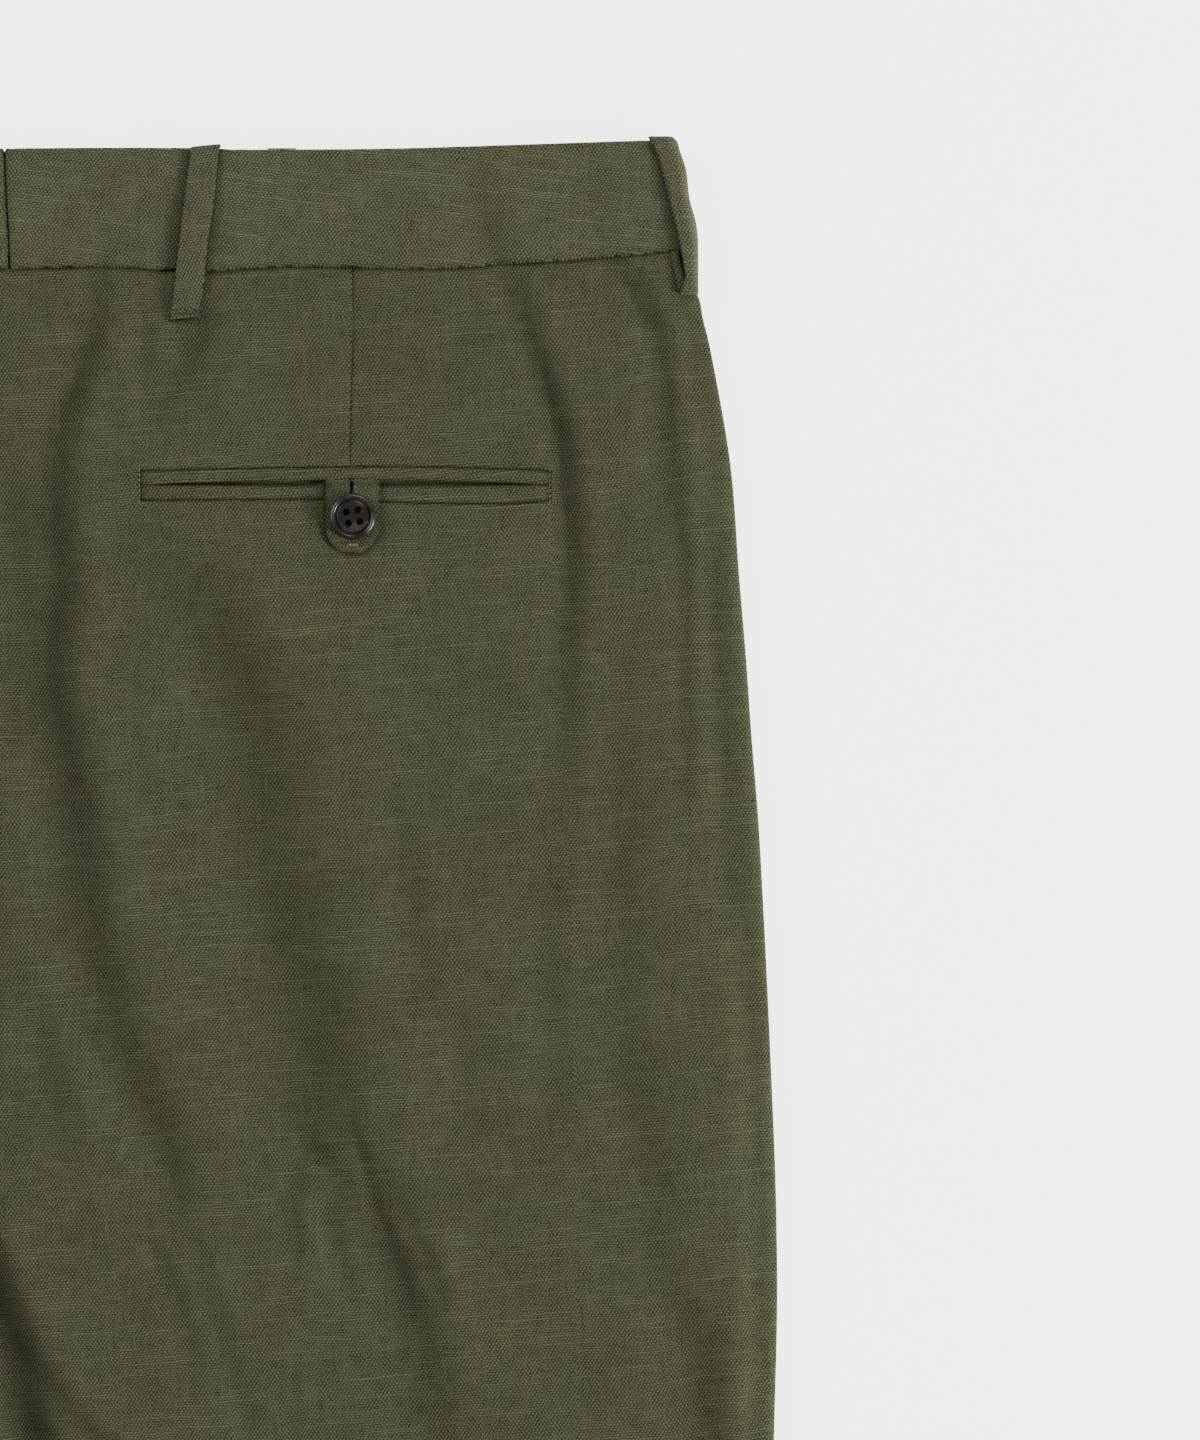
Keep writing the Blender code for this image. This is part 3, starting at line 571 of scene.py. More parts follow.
def cloth_solid(name: str, mid: np.ndarray, ply: float, material: Material, weave: Sequence[float],
                normals: np.ndarray, painted_shade: np.ndarray, cut: Optional[np.ndarray] = None) -> Object:
    """Give a grid of cloth its thickness, with rounded edges, nowhere under the surface it lies on.

    Args:
        name: The object's name.
        mid: The grid of middle points, (signed across, down, height).
        ply: The cloth's thickness.
        material: The cloth's finish.
        weave: The grain's angle and the weave's place, as surface_uv takes them.
        normals: Directions of the thickness.
        painted_shade: Painted shade of each point of the grid, from its folds, seams and the shadows of trims.
        cut: True for each cell of the grid that is cut away.

    Returns:
        The closed object.
    """
    total = mid.shape[0] * mid.shape[1]
    index = np.arange(total).reshape(mid.shape[:2])
    cells = np.stack([index[:-1, :-1], index[:-1, 1:], index[1:, 1:], index[1:, :-1]], axis=-1)
    quads = cells.reshape(-1, 4) if cut is None else cells[~cut]
    edges = np.concatenate([quads[:, [k, (k + 1) % 4]] for k in range(4)])
    _, first, count = np.unique(np.sort(edges, axis=1), axis=0, return_index=True, return_counts=True)
    border = edges[first[count == 1]]
    ends = np.unique(border)
    middles, normals, uv = (part.reshape(total, -1) for part in (mid, normals, surface_uv(mid, *weave)))
    centres = middles[quads].mean(axis=1)
    inside, weight = np.zeros_like(middles), np.zeros((total, 1))
    for corner in quads.T:
        np.add.at(inside, corner, centres)
        np.add.at(weight, corner, 1.0)
    outward = middles[ends] - inside[ends] / weight[ends]
    outward = outward - normals[ends] * np.sum(outward * normals[ends], axis=1, keepdims=True)
    outward = outward / np.maximum(np.linalg.norm(outward, axis=1, keepdims=True), 1e-9)
    points = np.concatenate([middles + normals * ply / 2, middles - normals * ply / 2,
                             middles[ends] + outward * ply * EDGE_ROUND])
    points[:, 2] = np.maximum(points[:, 2], 0.0)
    rim = np.full(total, -1)
    rim[ends] = 2 * total + np.arange(len(ends))
    a, b = border.T
    walls = np.stack([b, a, rim[a], rim[b], rim[b], rim[a], total + a, total + b], axis=1).reshape(-1, 4)
    faces = np.concatenate([quads, quads[:, ::-1] + total, walls])
    used = np.unique(faces)
    source = np.concatenate([np.arange(total), np.arange(total), ends])[used]
    return make_object(name, points[used], np.searchsorted(used, faces).tolist(), material,
                       uv[source], painted_shade.ravel()[source])


def turned(name: str, profile: Sequence[Sequence[float]], centre: Sequence[float], sides: int,
           material: Material) -> Object:
    """Turn a profile of (radius, height) points round an upright axis into a closed solid.

    Args:
        name: The object's name.
        profile: The section, from the axis round to the axis again.
        centre: Signed distance across, distance down and height of its middle.
        sides: How many points each ring has.
        material: Its finish.

    Returns:
        The closed object.
    """
    angles = [2 * math.pi * i / sides for i in range(sides)]
    rings = [(r * math.cos(a), r * math.sin(a), h) for r, h in profile[1:-1] for a in angles]
    points = np.array([(0.0, 0.0, profile[0][1]), *rings, (0.0, 0.0, profile[-1][1])])
    last = len(rings) + 1
    faces = []
    for i in range(sides):
        j = (i + 1) % sides
        faces.append((0, 1 + j, 1 + i))
        faces += [(low + i, low + j, low + sides + j, low + sides + i) for low in range(1, last - sides, sides)]
        faces.append((last - sides + i, last - sides + j, last))
    return make_object(name, points + np.array(centre), faces, material)


def plain_mesh(carrier: Object) -> Mesh:
    """Take an object's mesh with its modifiers worked out, and remove the object.

    Args:
        carrier: The object, which is gone afterwards.

    Returns:
        The finished mesh.
    """
    view = bpy.context.evaluated_depsgraph_get()
    mesh = bpy.data.meshes.new_from_object(carrier.evaluated_get(view), depsgraph=view)
    bpy.data.objects.remove(carrier, do_unlink=True)
    return mesh


def settle(piece: Object, slot: str, *nodes: str) -> Object:
    """Fix a finished piece to the garment's body and hide the solids that it stands for.

    Args:
        piece: The finished piece.
        slot: Its material slot. Not used.
        nodes: The solids that it stands for, if it stands for any.

    Returns:
        The same piece.
    """
    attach(piece, BODY)
    if nodes:
        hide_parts(*nodes)
    log.info("%s: %d faces", piece.name, len(piece.data.polygons))
    return piece


# --------------------------------------------------------------------------- finishes


class Value:
    """A number that varies over a surface, written as Python arithmetic."""

    def __init__(self, tree: "ShaderTree", socket: bpy.types.NodeSocket) -> None:
        """Wrap one output socket."""
        self.tree = tree
        self.socket = socket

    def math(self, operation: str, other: Union["Value", float, None] = None,
             reflected: bool = False) -> "Value":
        """Add one Math node.

        Args:
            operation: What the node does.
            other: The second number, if there is one.
            reflected: Whether the other number comes first.

        Returns:
            The node's result.
        """
        values = [self] if other is None else ([other, self] if reflected else [self, other])
        node = self.tree.node("ShaderNodeMath", {"operation": operation}, dict(enumerate(values)))
        return Value(self.tree, node.outputs[0])

    __add__ = __radd__ = partialmethod(math, "ADD")
    __sub__ = partialmethod(math, "SUBTRACT")
    __rsub__ = partialmethod(math, "SUBTRACT", reflected=True)
    __mul__ = __rmul__ = partialmethod(math, "MULTIPLY")
    __truediv__ = partialmethod(math, "DIVIDE")
    sine = partialmethod(math, "SINE")
    size = partialmethod(math, "ABSOLUTE")
    floor = partialmethod(math, "FLOOR")

    def between(self, low: float, high: float) -> "Value":
        """Rise smoothly from 0 at low to 1 at high.

        Args:
            low: Where the rise starts.
            high: Where it ends.

        Returns:
            The eased number.
        """
        node = self.tree.node("ShaderNodeMapRange", {"interpolation_type": "SMOOTHSTEP"},
                              {"Value": self, "From Min": low, "From Max": high})
        return Value(self.tree, node.outputs["Result"])


class ShaderTree:
    """A material's node tree, with one call for every kind of node."""

    def __init__(self, name: str) -> None:
        """Make an empty material with its Principled shader.

        Args:
            name: The material's name.
        """
        self.material = bpy.data.materials.new(name)
        self.material.use_nodes = True
        self.tree = self.material.node_tree

    def node(self, kind: str, settings: Optional[dict] = None, inputs: Optional[dict] = None
             ) -> bpy.types.Node:
        """Add a node.

        Args:
            kind: The node's type.
            settings: Its properties, and "stops" for a colour ramp's (place, colour) pairs.
            inputs: Values or links for its sockets, by name or number.

        Returns:
            The new node.
        """
        settings = dict(settings or {})
        made = self.tree.nodes.new(kind)
        for i, (place, colour) in enumerate(settings.pop("stops", ())):
            stop = made.color_ramp.elements[i] if i < 2 else made.color_ramp.elements.new(place)
            stop.position, stop.color = place, colour
        for key, value in settings.items():
            setattr(made, key, value)
        for key, value in (inputs or {}).items():
            self.feed(made.inputs[key], value)
        return made

    def feed(self, socket: bpy.types.NodeSocket, value: object) -> None:
        """Link one input socket, or set it to a number or a colour of three numbers.

        Args:
            socket: The input socket.
            value: A value, an output socket, a number or a colour.
        """
        if isinstance(value, Value):
            value = value.socket
        if isinstance(value, bpy.types.NodeSocket):
            self.tree.links.new(value, socket)
        else:
            socket.default_value = (*value, 1.0) if isinstance(value, tuple) else value

    def noise(self, place: object, scale: float, detail: float = 2.0, rough: float = 0.5) -> Value:
        """Smooth noise from 0 to 1 at a place, which may be given as three values.

        Args:
            place: Where the noise is read.
            scale: Waves in each unit of the place.
            detail: Finer layers added.
            rough: Strength of the finer layers.

        Returns:
            The noise.
        """
        if isinstance(place, tuple):
            place = self.node("ShaderNodeCombineXYZ", None, dict(enumerate(place))).outputs[0]
        made = self.node("ShaderNodeTexNoise", {"noise_dimensions": "3D"},
                         {"Vector": place, "Scale": scale, "Detail": detail, "Roughness": rough})
        return Value(self, made.outputs["Fac"])

    def blend(self, share: object, first: object, second: object, how: str = "MIX") -> bpy.types.NodeSocket:
        """Mix two colours."""
        return self.node("ShaderNodeMix", {"data_type": "RGBA", "blend_type": how},
                         {0: share, 6: first, 7: second}).outputs[2]

    def bump(self, height: Value, strength: float, distance: float) -> bpy.types.NodeSocket:
        """Normals tilted by a height, whose full size is the distance in metres."""
        return self.node("ShaderNodeBump", None, {"Height": height, "Strength": strength,
                                                  "Distance": distance}).outputs[0]

    def finish(self, inputs: dict) -> Material:
        """Feed the shader's sockets and give the material.

        Args:
            inputs: Values or links for the shader's sockets, by name.

        Returns:
            The material.
        """
        for key, value in inputs.items():
            self.feed(self.tree.nodes["Principled BSDF"].inputs[key], value)
        return self.material


@dataclass(frozen=True)
class Linen:
    """Plain-woven linen, drawn thread by thread on the piece's own weave map."""

    name: str
    dark: tuple = (0.0065, 0.0066, 0.0020)
    light: tuple = (0.0905, 0.0925, 0.0540)
    weft_tint: tuple = (1.03, 1.0, 0.93)
    warp_tint: tuple = (0.96, 1.0, 1.06)
    green: tuple = (0.97, 1.013, 1.0)
    brown: tuple = (1.02, 0.997, 0.962)
    warp_pitch: float = 0.607
    weft_pitch: float = 0.885
    slant: float = 0.18
    check: float = 0.44
    rows: float = 0.47
    columns: float = 0.08
    zones: float = 1.2
    slub: float = 0.20
    fibre: float = 0.98
    wander: float = 0.66
    painted_shade_strength: float = 0.46
    bump: float = 0.3

    def build(self) -> Material:
        """Make the material.

        Returns:
            The linen, with its weave, its tints, and painted shade in its folds and seams.
        """
        tree = ShaderTree(self.name)
        place = tree.node("ShaderNodeUVMap", {"uv_map": "grain"}).outputs["UV"]
        ways = tree.node("ShaderNodeSeparateXYZ", None, {0: place}).outputs
        weft_way, warp_way = Value(tree, ways[0]), Value(tree, ways[1])
        sway = tree.noise(place, 0.012, 1.0) - 0.5
        drift = tree.noise(place, 0.05, 2.0) - 0.5
        wander = (tree.noise(place, 0.6, 0.0) - 0.5) * self.wander
        waver = (tree.noise((warp_way, weft_way, 0.0), 0.6, 0.0) - 0.5) * self.wander
        u = weft_way / self.warp_pitch + sway * 5.0 + drift * 0.6 + wander
        v = warp_way / self.weft_pitch - sway * 5.0 + drift * 0.6 + waver
        i, j = u.floor(), v.floor()
        mean_wave = 0.64
        weft_wave = (v * math.pi).sine()
        rows = weft_wave.size() - mean_wave
        columns = (u * math.pi).sine().size() - mean_wave
        crossing = ((u + (v - j - 0.5) * self.slant) * math.pi).sine() * weft_wave
        thin_weft = tree.noise((weft_way * 0.17, j * 5.1, 9.0), 1.0, 1.0) - 0.5
        thin_warp = tree.noise((i * 4.3, warp_way * 0.12, 19.0), 1.0, 1.0) - 0.5
        slubs = tree.noise((weft_way * 0.03, j * 3.71, 5.0), 1.0, 1.0).between(0.54, 0.69)
        specks = tree.noise((i * 2.9, warp_way * 0.07, 15.0), 1.0, 1.0).between(0.62, 0.74)
        zone = tree.noise(place, 0.06, 1.0) * self.zones + (1 - self.zones / 2)
        height = crossing * zone * self.check + rows * (2 - zone) * self.rows + columns * self.columns
        fibre = (tree.noise(place, 3.0, 0.0) - 0.5) * self.fibre
        tone = height + fibre + thin_weft * 0.35 + thin_warp * 0.30
        tone = tone + (slubs * (rows * 2.0 + 0.6) + specks * (columns + 0.4)) * self.slub + 0.46
        stops = [(tone_at, (*[d + (c - d) * share for c, d in zip(self.light, self.dark)], 1.0))
                 for tone_at, share in ((0.0, 0.0), (1.0, 1.14), (0.414, 0.70))]
        colour = tree.node("ShaderNodeValToRGB", {"stops": stops}, {0: tone / 1.45}).outputs[0]
        patch = tree.noise(place, 0.018, 3.0, 0.6)
        tint = tree.blend(patch.between(0.36, 0.64), self.green, self.brown)
        yarn = tree.blend(crossing * 0.7 + 0.5, self.warp_tint, self.weft_tint)
        tone_and_painted_shade = tree.noise(place, 0.045, 2.0).between(0.25, 0.75) * 0.10 + 0.95
        # Painted shade: the mesh attribute darkens the colour in folds, seams and beside trims, and faintly
        # lightens crease ridges.
        painted_shade = tree.node("ShaderNodeAttribute", {"attribute_name": "painted_shade"}).outputs["Fac"]
        tone_and_painted_shade = tone_and_painted_shade * (1 - Value(tree, painted_shade) * self.painted_shade_strength)
        shade = tree.node("ShaderNodeCombineColor", None, {0: tone_and_painted_shade, 1: tone_and_painted_shade, 2: tone_and_painted_shade}).outputs[0]
        for layer in (tint, yarn, shade):
            colour = tree.blend(1.0, colour, layer, "MULTIPLY")
        return tree.finish({"Base Color": colour, "Normal": tree.bump(height, self.bump, 0.00012),
                            "Roughness": 0.88, "Specular IOR Level": 0.07})


@dataclass(frozen=True)
class ButtonResin:
    """Polished dark resin with a faint horn-like streak."""

    name: str = "button_resin"
    dark: tuple = (0.012, 0.0100, 0.0090)
    streak: tuple = (0.042, 0.031, 0.025)

    def build(self) -> Material:
        """Make the material.

        Returns:
            The resin.
        """
        tree = ShaderTree(self.name)
        place = tree.node("ShaderNodeTexCoord").outputs["Object"]
        swirl = tree.noise(place, 210.0, 4.0, 0.6)
        return tree.finish({"Base Color": tree.blend(swirl.between(0.45, 0.75), self.dark, self.streak),
                            "Roughness": swirl * 0.16 + 0.18, "Specular IOR Level": 0.42,
                            "Normal": tree.bump(tree.noise(place, 2600.0, 2.0), 0.12, 0.00005)})


@dataclass(frozen=True)
class Thread:
    """Spun sewing thread, with its twist."""

    name: str
    colour: tuple = (0.060, 0.057, 0.030)

    def build(self) -> Material:
        """Make the material.

        Returns:
            The thread.
        """
        tree = ShaderTree(self.name)
        place = tree.node("ShaderNodeTexCoord").outputs["Object"]
        dark, light = (tuple(c * share for c in self.colour) for share in (0.65, 1.35))
        return tree.finish({"Base Color": tree.blend(tree.noise(place, 3600.0, 2.0), dark, light),
                            "Roughness": 0.7})


@dataclass(frozen=True)
class PlainFloor:
    """A plain pale floor."""

    name: str = "plain_floor"
    tone: float = 0.90
    glow: float = 3.0

    def build(self) -> Material:
        """Make the material.

        Returns:
            The floor's finish.
        """
        return ShaderTree(self.name).finish({
            "Base Color": (self.tone,) * 3, "Roughness": 1.0, "Emission Color": (1.0, 1.0, 1.0),
            "Emission Strength": self.glow, "Specular IOR Level": 0.0})


# ----------------------------------------------------------------------------- panels


@dataclass
class Panel:
    """One leg panel, back or front, as a thin shell on its solid's form."""

    side: Side
    layer: Layer
    cloth: Material
    arc_steps: int = 7
    grain: float = math.radians(4.0)
    top_down: float = 36.5

    @property
    def back(self) -> bool:
        """Whether this is a back panel."""
        return self.layer is Layer.BACK

    @property
    def rounding(self) -> float:
        """Width of the rounded edges."""
        return 5.2 if self.back else 2.6

    def rows(self) -> np.ndarray:
        """Distances down of the grid's rows, closer together where the folds are finest.

        Returns:
            The distances, from the waistband to the hem.
        """
        if not self.back:
            return np.concatenate([np.linspace(self.top_down + 2.4, 130, 24)[:-1],
                                   np.linspace(130, LENGTH, 70)])
        seam = np.array([-1.6, -1.0, -0.6, -0.4, -0.22, -0.06, 0.1, 0.3, 0.7, 1.3])
        return np.concatenate([np.linspace(self.top_down, 48.0, 12)[:-1], np.linspace(48.0, 103.0, 24),
                               [104.2], WELT_TOP + seam, np.linspace(109.6, 115.4, 7),
                               WELT_BOTTOM - seam[::-1], [120.4], np.linspace(121.0, 460.0, 136),
                               np.linspace(460.0, LENGTH, 104)[1:]])

    def columns(self) -> np.ndarray:
        """Places across of the level columns beside the pocket, closer together at its seams.

        Returns:
            The places, from the centre to the side.
        """
        low, high = self.level_range(np.array(WELT_TOP))
        if not self.back:
            return np.linspace(low, high, 34)
        seam = np.array([-1.5, -0.85, -0.5, -0.3, -0.12, 0.0, 0.12, 0.3, 0.5, 0.85, 1.5])
        middles = np.array([[POCKET_START], [float(DART_LINE(85.0))], [POCKET_END]])
        even = np.linspace(low, high, 104)
        even = even[np.abs(even - middles).min(axis=0) > 2.3]
        return np.sort(np.concatenate([even, (middles + seam).ravel(), [TAB_CENTRE + 1.6]]))

    def level_range(self, down: np.ndarray) -> tuple[np.ndarray, np.ndarray]:
        """Where the level part of each row starts and ends.

        Args:
            down: Distances down of the rows.

        Returns:
            The places across of both ends.
        """
        top = SEAT_LINE if self.back else FRONT_CENTRE_LINE
        inner = self.side.sign * np.where(down < CROTCH_DOWN, top(down), INNER_LINES[self.side](down))
        inner = inner + SEAM_GAP + PLY / 2 * np.sin(curl(down) * math.pi / 2)
        outer = SIDE_LINE(down + band_shift(np.array(230.0), down)) - PLY / 2
        return inner + self.rounding, outer - self.rounding

    def grid(self) -> tuple[np.ndarray, np.ndarray]:
        """Middle points and normals, with the cloth rounded over its folded edges.

        Returns:
            The middle points and the normals.
        """
        down = self.rows()[:, None]
        turn = curl(down)
        start, end = self.level_range(down)
        inner, outer = start - self.rounding, end + self.rounding
        angles = np.linspace(0.0, math.pi / 2, self.arc_steps + 1)[None, :-1]
        reach, drop = self.rounding * (1 - np.cos(angles)), 1 - np.sin(angles)
        columns = self.columns()[None, :]
        shares = (columns - columns[0, 0]) / np.ptp(columns)
        level = start + (end - start) * shares
        pinned = (1 - ease(down, 124.0, 180.0)) * ease(shares, 0.02, 0.14) * (1 - ease(shares, 0.82, 0.97))
        level = level + (columns - level) * pinned
        across = np.concatenate([inner + reach, level, (outer - reach)[:, ::-1]], axis=1)
        down = np.broadcast_to(down, across.shape)
        if self.back:
            down = down + pocket_shift(across, down)
            height = back_height(self.side, across, down)
            beside = np.maximum(turn * (1 - ease(across - inner - self.rounding, 0, 10.0)),
                                1 - ease(outer - self.rounding - across, 0, 10.0))
            edge = back_edge_mid(down) + 0.5 * crumple(across, down * 1.7, 0.7)
            height = height + (edge - height) * beside
        else:
            height = front_mid(down)
        facing = 1 if self.back else -1
        seam = 0.5 * (front_mid(down) + back_edge_mid(down)) + facing * SEAM_GAP + facing * PLY * EDGE_ROUND
        fall = np.zeros(across.shape)
        fall[:, :self.arc_steps] = turn * drop
        fall[:, -self.arc_steps:] = drop[:, ::-1]
        height = height + (seam - height) * fall
        mid = self.side.points(across, down + band_shift(across, down), height)
        normals = normals_of(mid, column=across.shape[1] // 2)
        lean = (turn * math.pi / 2)[:, 0]
        normals[:, 0] = self.side.points(-facing * np.sin(lean), 0.0, np.cos(lean))
        normals[:, -1] = self.side.points(facing, 0.0, 0.0)
        return mid, normals

    def build(self) -> Object:
        """Make the panel.

        Returns:
            The panel.
        """
        mid, normals = self.grid()
        across, down = self.side.sign * mid[..., 0], mid[..., 1]
        # Painted shade: folds and seams on the back; on the front, a painted shade line along the centre seam.
        if self.back:
            painted_shade = crease_shade(self.side, across, down)
        else:
            painted_shade = 1.2 * bell(across - across[:, :1], 0.7, 1.0) * (1 - ease(down, 280.0, CROTCH_DOWN))
        made = cloth_solid(f"{self.layer.value}_cloth_{self.side.value}", mid, PLY, self.cloth,
                           (self.grain * self.side.sign,), normals, painted_shade)
        return settle(made, "linen", f"{self.layer.value}_panel_{self.side.value}")

    def declare(self, made: Object, trims: Sequence[Object] = ()) -> None:
        """Args:
            made: The built panel. Not used.
            trims: The pieces sewn to it. Not used.
        """
        mid, _ = self.grid()


@dataclass
class Waistband:
    """One half of the waistband, wrapped from the centre back round the side to the front."""

    side: Side
    cloth: Material
    grain: float = math.radians(-6.5)
    measured_row: int = 8
    back_column: int = 40
    run: float = 0.0

    def build(self) -> Object:
        """Make the waistband.

        Returns:
            The waistband.
        """
        rounding = 0.5 * (BAND_BACK_MID - BAND_FRONT_MID)
        level = 0.5 * (BAND_BACK_MID + BAND_FRONT_MID)
        share = np.concatenate([[0.0, 0.02, 0.05], np.linspace(0.1, 0.9, 15), [0.95, 0.98, 1.0]])[:, None]
        angles = np.linspace(math.pi / 2, -math.pi / 2, 15)
        turn_at = BAND_SIDE_LINE(share * BAND_HEIGHT) - BAND_PLY / 2 - rounding
        centre = self.side.sign * CENTRE_BACK_LINE(share * BAND_HEIGHT)
        start = centre - 0.25 + BAND_PLY * EDGE_ROUND
        by_loop = np.arange(55.03, 75.0, 0.47)
        back = np.sort(np.concatenate([start + np.array([0.0, 0.15, 0.35, 0.7, 1.2]), 0 * start + by_loop,
                                       np.linspace(start + 2.0, turn_at, 120, axis=1)[:, :-1, 0]],
                                      axis=1), axis=1)
        front = np.linspace(turn_at, 0.06 + BAND_PLY * EDGE_ROUND, 60, axis=1)[:, 1:, 0]
        across = np.concatenate([back, turn_at + rounding * np.cos(angles), front], axis=1)
        top, bottom = BAND_TOP_LINE(across), BAND_BOTTOM_LINE(across)
        down = top + share * (bottom - top)
        counts = [back.shape[1], len(angles), front.shape[1]]
        height = np.repeat([BAND_BACK_MID, level, BAND_FRONT_MID], counts)
        height[counts[0]:-counts[2]] += rounding * np.sin(angles)
        on_back = np.repeat([1.0, 0.0, 0.0], counts)
        relief = relief_of(BAND_CREASES, across, down)
        soft = relief + 0.35 * crumple(across * 0.8, down * 1.4, 0.9 + self.side.sign)
        soft = (soft - 0.5 * bell(across - centre, 1.2)) * (1 - ease(across, turn_at - 12, turn_at))
        roll = 0.35 * (1 - np.sin(math.pi * share) ** 0.35)
        # Painted shade in the band's creases and along its centre-back and lower seams, painted shadow beside
        # the back loop, faint painted light on ridges.
        seam = 0.8 * bell(across - start, 0.35, 1.0) + 0.35 * np.maximum(0.0, 1 - (1 - share) / 0.04)
        shade = np.clip(-relief / 2.6, -0.12, 0.8) + seam + self.loop_shadow(across, down)
        mid = self.side.points(across, down, height + (soft - roll) * on_back)
        self.run = float(steps_along(mid, 1)[self.measured_row].sum()) * MM
        made = cloth_solid(f"waistband_cloth_{self.side.value}", mid, BAND_PLY, self.cloth,
                           (self.grain * self.side.sign, 37.0, 11.0),
                           normals_of(mid, column=self.back_column), shade * on_back)
        return settle(made, "linen_band", f"waistband_{self.side.value}")

    def loop_shadow(self, across: np.ndarray, down: np.ndarray) -> np.ndarray:
        """Darkness close beside the back loop, wider on the side away from the main light.

        Args:
            across: Distances from the centre back, mirrored on the left.
            down: Distances below the waistband's top edge.

        Returns:
            The shades, 0 away from the loop.
        """
        beside = (across - BackLoop.middle(down)) * self.side.sign
        past = np.maximum(np.abs(beside) - BackLoop.width / 2 - LOOP_GAP, 0.0)
        return np.where(beside < 0, 0.9, 0.8) * np.exp(-(past / np.where(beside < 0, 1.0, 0.8)) ** 1.5)

    def declare(self, made: Object, loops: Sequence[Object]) -> None:
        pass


# ------------------------------------------------------------------------- belt loops


@dataclass
class BeltLoop:
    """A belt loop: a folded strip caught over the waistband's top edge and sewn down below."""

    side: Side
    cloth: Material
    thread: Material
    width: float = 9.3
    ply: float = 1.3
    length: float = 57.0

    def strip(self, name: str, rows: np.ndarray, upward: Sequence[float], nodes: Sequence[str] = (),
              lines: Sequence[float] = ()) -> Object:
        """Make one strip.

        Args:
            name: The piece's name.
            rows: Its middle points, row by row down the strip.
            upward: Roughly where its outer face looks.
            nodes: The solids it stands for.
            lines: Distances down of the grooves across its sewn end, darkened with painted shade.

        Returns:
            The strip.
        """
        run = run_along(rows, 1)
        place = 2 * run / run[:, -1:] - 1
        # Painted shade on the strip's edges, stronger on the side away from the main light, along its grooves,
        # and a painted shadow line on its sewn end.
        painted_shade = np.where(place * self.side.sign < 0, 0.65, 0.4) * np.abs(place) ** 30
        for line in lines:
            painted_shade = np.maximum(painted_shade, 1.2 * bell(rows[..., 1] - line, 0.22))
            painted_shade[-1] = 1.5
        made = cloth_solid(f"{name}_{self.side.value}", rows, self.ply, self.cloth,
                           (math.radians(9.0) * self.side.sign, 5.0, 3.0), normals_of(rows, upward), painted_shade)
        return settle(made, "linen_band", *nodes)

    def offsets(self) -> np.ndarray:
        """Places across the strip, closer together at its two folded edges."""
        return np.array([-0.5, -0.47, -0.42, -0.3, -0.1, 0.1, 0.3, 0.42, 0.47, 0.5]) * self.width


@dataclass
class BackLoop(BeltLoop):
    """The leaning loop on the back."""

    top_across: float = 66.9
    end_across: float = 60.0
    grooves: tuple = (54.3, 55.4)
    groove_row: int = -8
    lean: float = 0.1

    @classmethod
    def middle(cls, down: Number) -> Number:
        """Place across of the strip's middle line."""
        return cls.top_across + (cls.end_across - cls.top_across) * down / cls.length

    def rows(self) -> np.ndarray:
        """Middle points of the strip.

        Returns:
            The points, row by row from the band's top edge to the sewn end.
        """
        rest = LOOP_GAP + self.ply / 2
        band_top = BAND_BACK_MID + BAND_PLY / 2
        over = band_top + rest
        edge = float(BAND_TOP_LINE(self.top_across)) - rest - 0.3
        under_end = back_height(self.side, self.end_across + np.array([[-4.0], [0.0], [4.0]]),
                                self.length - np.array([0.0, 5.0]))
        end = under_end.max() + PLY / 2 + rest - 0.1
        profile = [(edge, band_top - 1.8), (edge, band_top - 0.6), (edge + 0.25, band_top + 0.25),
                   (edge + 0.9, over - 0.1), (edge + 2.2, over + 0.1)]
        profile += [(down, over + rise) for down, rise in (
            (8.0, 0.5), (15.0, 0.8), (22.0, 1.3), (29.0, 1.6), (35.0, 1.4), (40.0, 0.9), (44.0, 0.2))]
        profile += [(down, end + rise) for down, rise in (
            (48.0, 0.5), (51.5, 0.25), (53.4, 0.1), (53.95, 0.02), (54.3, -0.15), (54.65, 0), (55.1, 0),
            (55.4, -0.12), (55.7, 0), (56.3, 0.02), (56.75, 0), (self.length, -0.04))]
        down, height = np.array(profile).T[:, :, None]
        offsets = self.offsets()
        share = offsets / (self.width / 2)
        return self.side.points(self.middle(down) + offsets, down - self.lean * offsets,
                                height - 0.16 * share ** 4 - 0.10 * share)

    def build(self) -> Object:
        """Make the loop and its row of stitches.

        Returns:
            The loop.
        """
        rows = self.rows()
        made = self.strip("loop_back_cloth", rows, (0.0, -0.4, 1.0), [f"loop_back_{self.side.value}"],
                          self.grooves)
        groove, offsets = self.grooves[0], np.array([-4.3, -1.5, 1.5, 4.3])
        top = rows[self.groove_row, rows.shape[1] // 2 - 1, 2] + self.ply / 2
        path = self.side.points(self.middle(groove) + offsets, groove - self.lean * offsets, top + 0.02)
        StitchRow(f"loop_back_stitches_{self.side.value}", self.thread).build(path)
        return made


@dataclass
class FrontLoop(BeltLoop):
    """The straight loop on the front, pressed flat underneath."""

    across: float = 92.0

    def build(self) -> Object:
        """Make the loop.

        Returns:
            The loop.
        """
        middle = self.ply / 2
        edge = float(BAND_TOP_LINE(self.across)) - middle - 0.3
        profile = ((edge, 2.6), (edge, 1.2), (edge + 0.35, 0.3), (edge + 1.1, 0.0), (10.0, 0.0),
                   (30.0, 0.0), (45.0, 0.0), (self.length, 0.0))
        down, rise = np.array(profile).T[:, :, None]
        rows = self.side.points(self.across + self.offsets(), down, middle + rise)
        return self.strip("loop_front_cloth", rows, (0.0, 0.4, 1.0), [f"loop_front_{self.side.value}"])


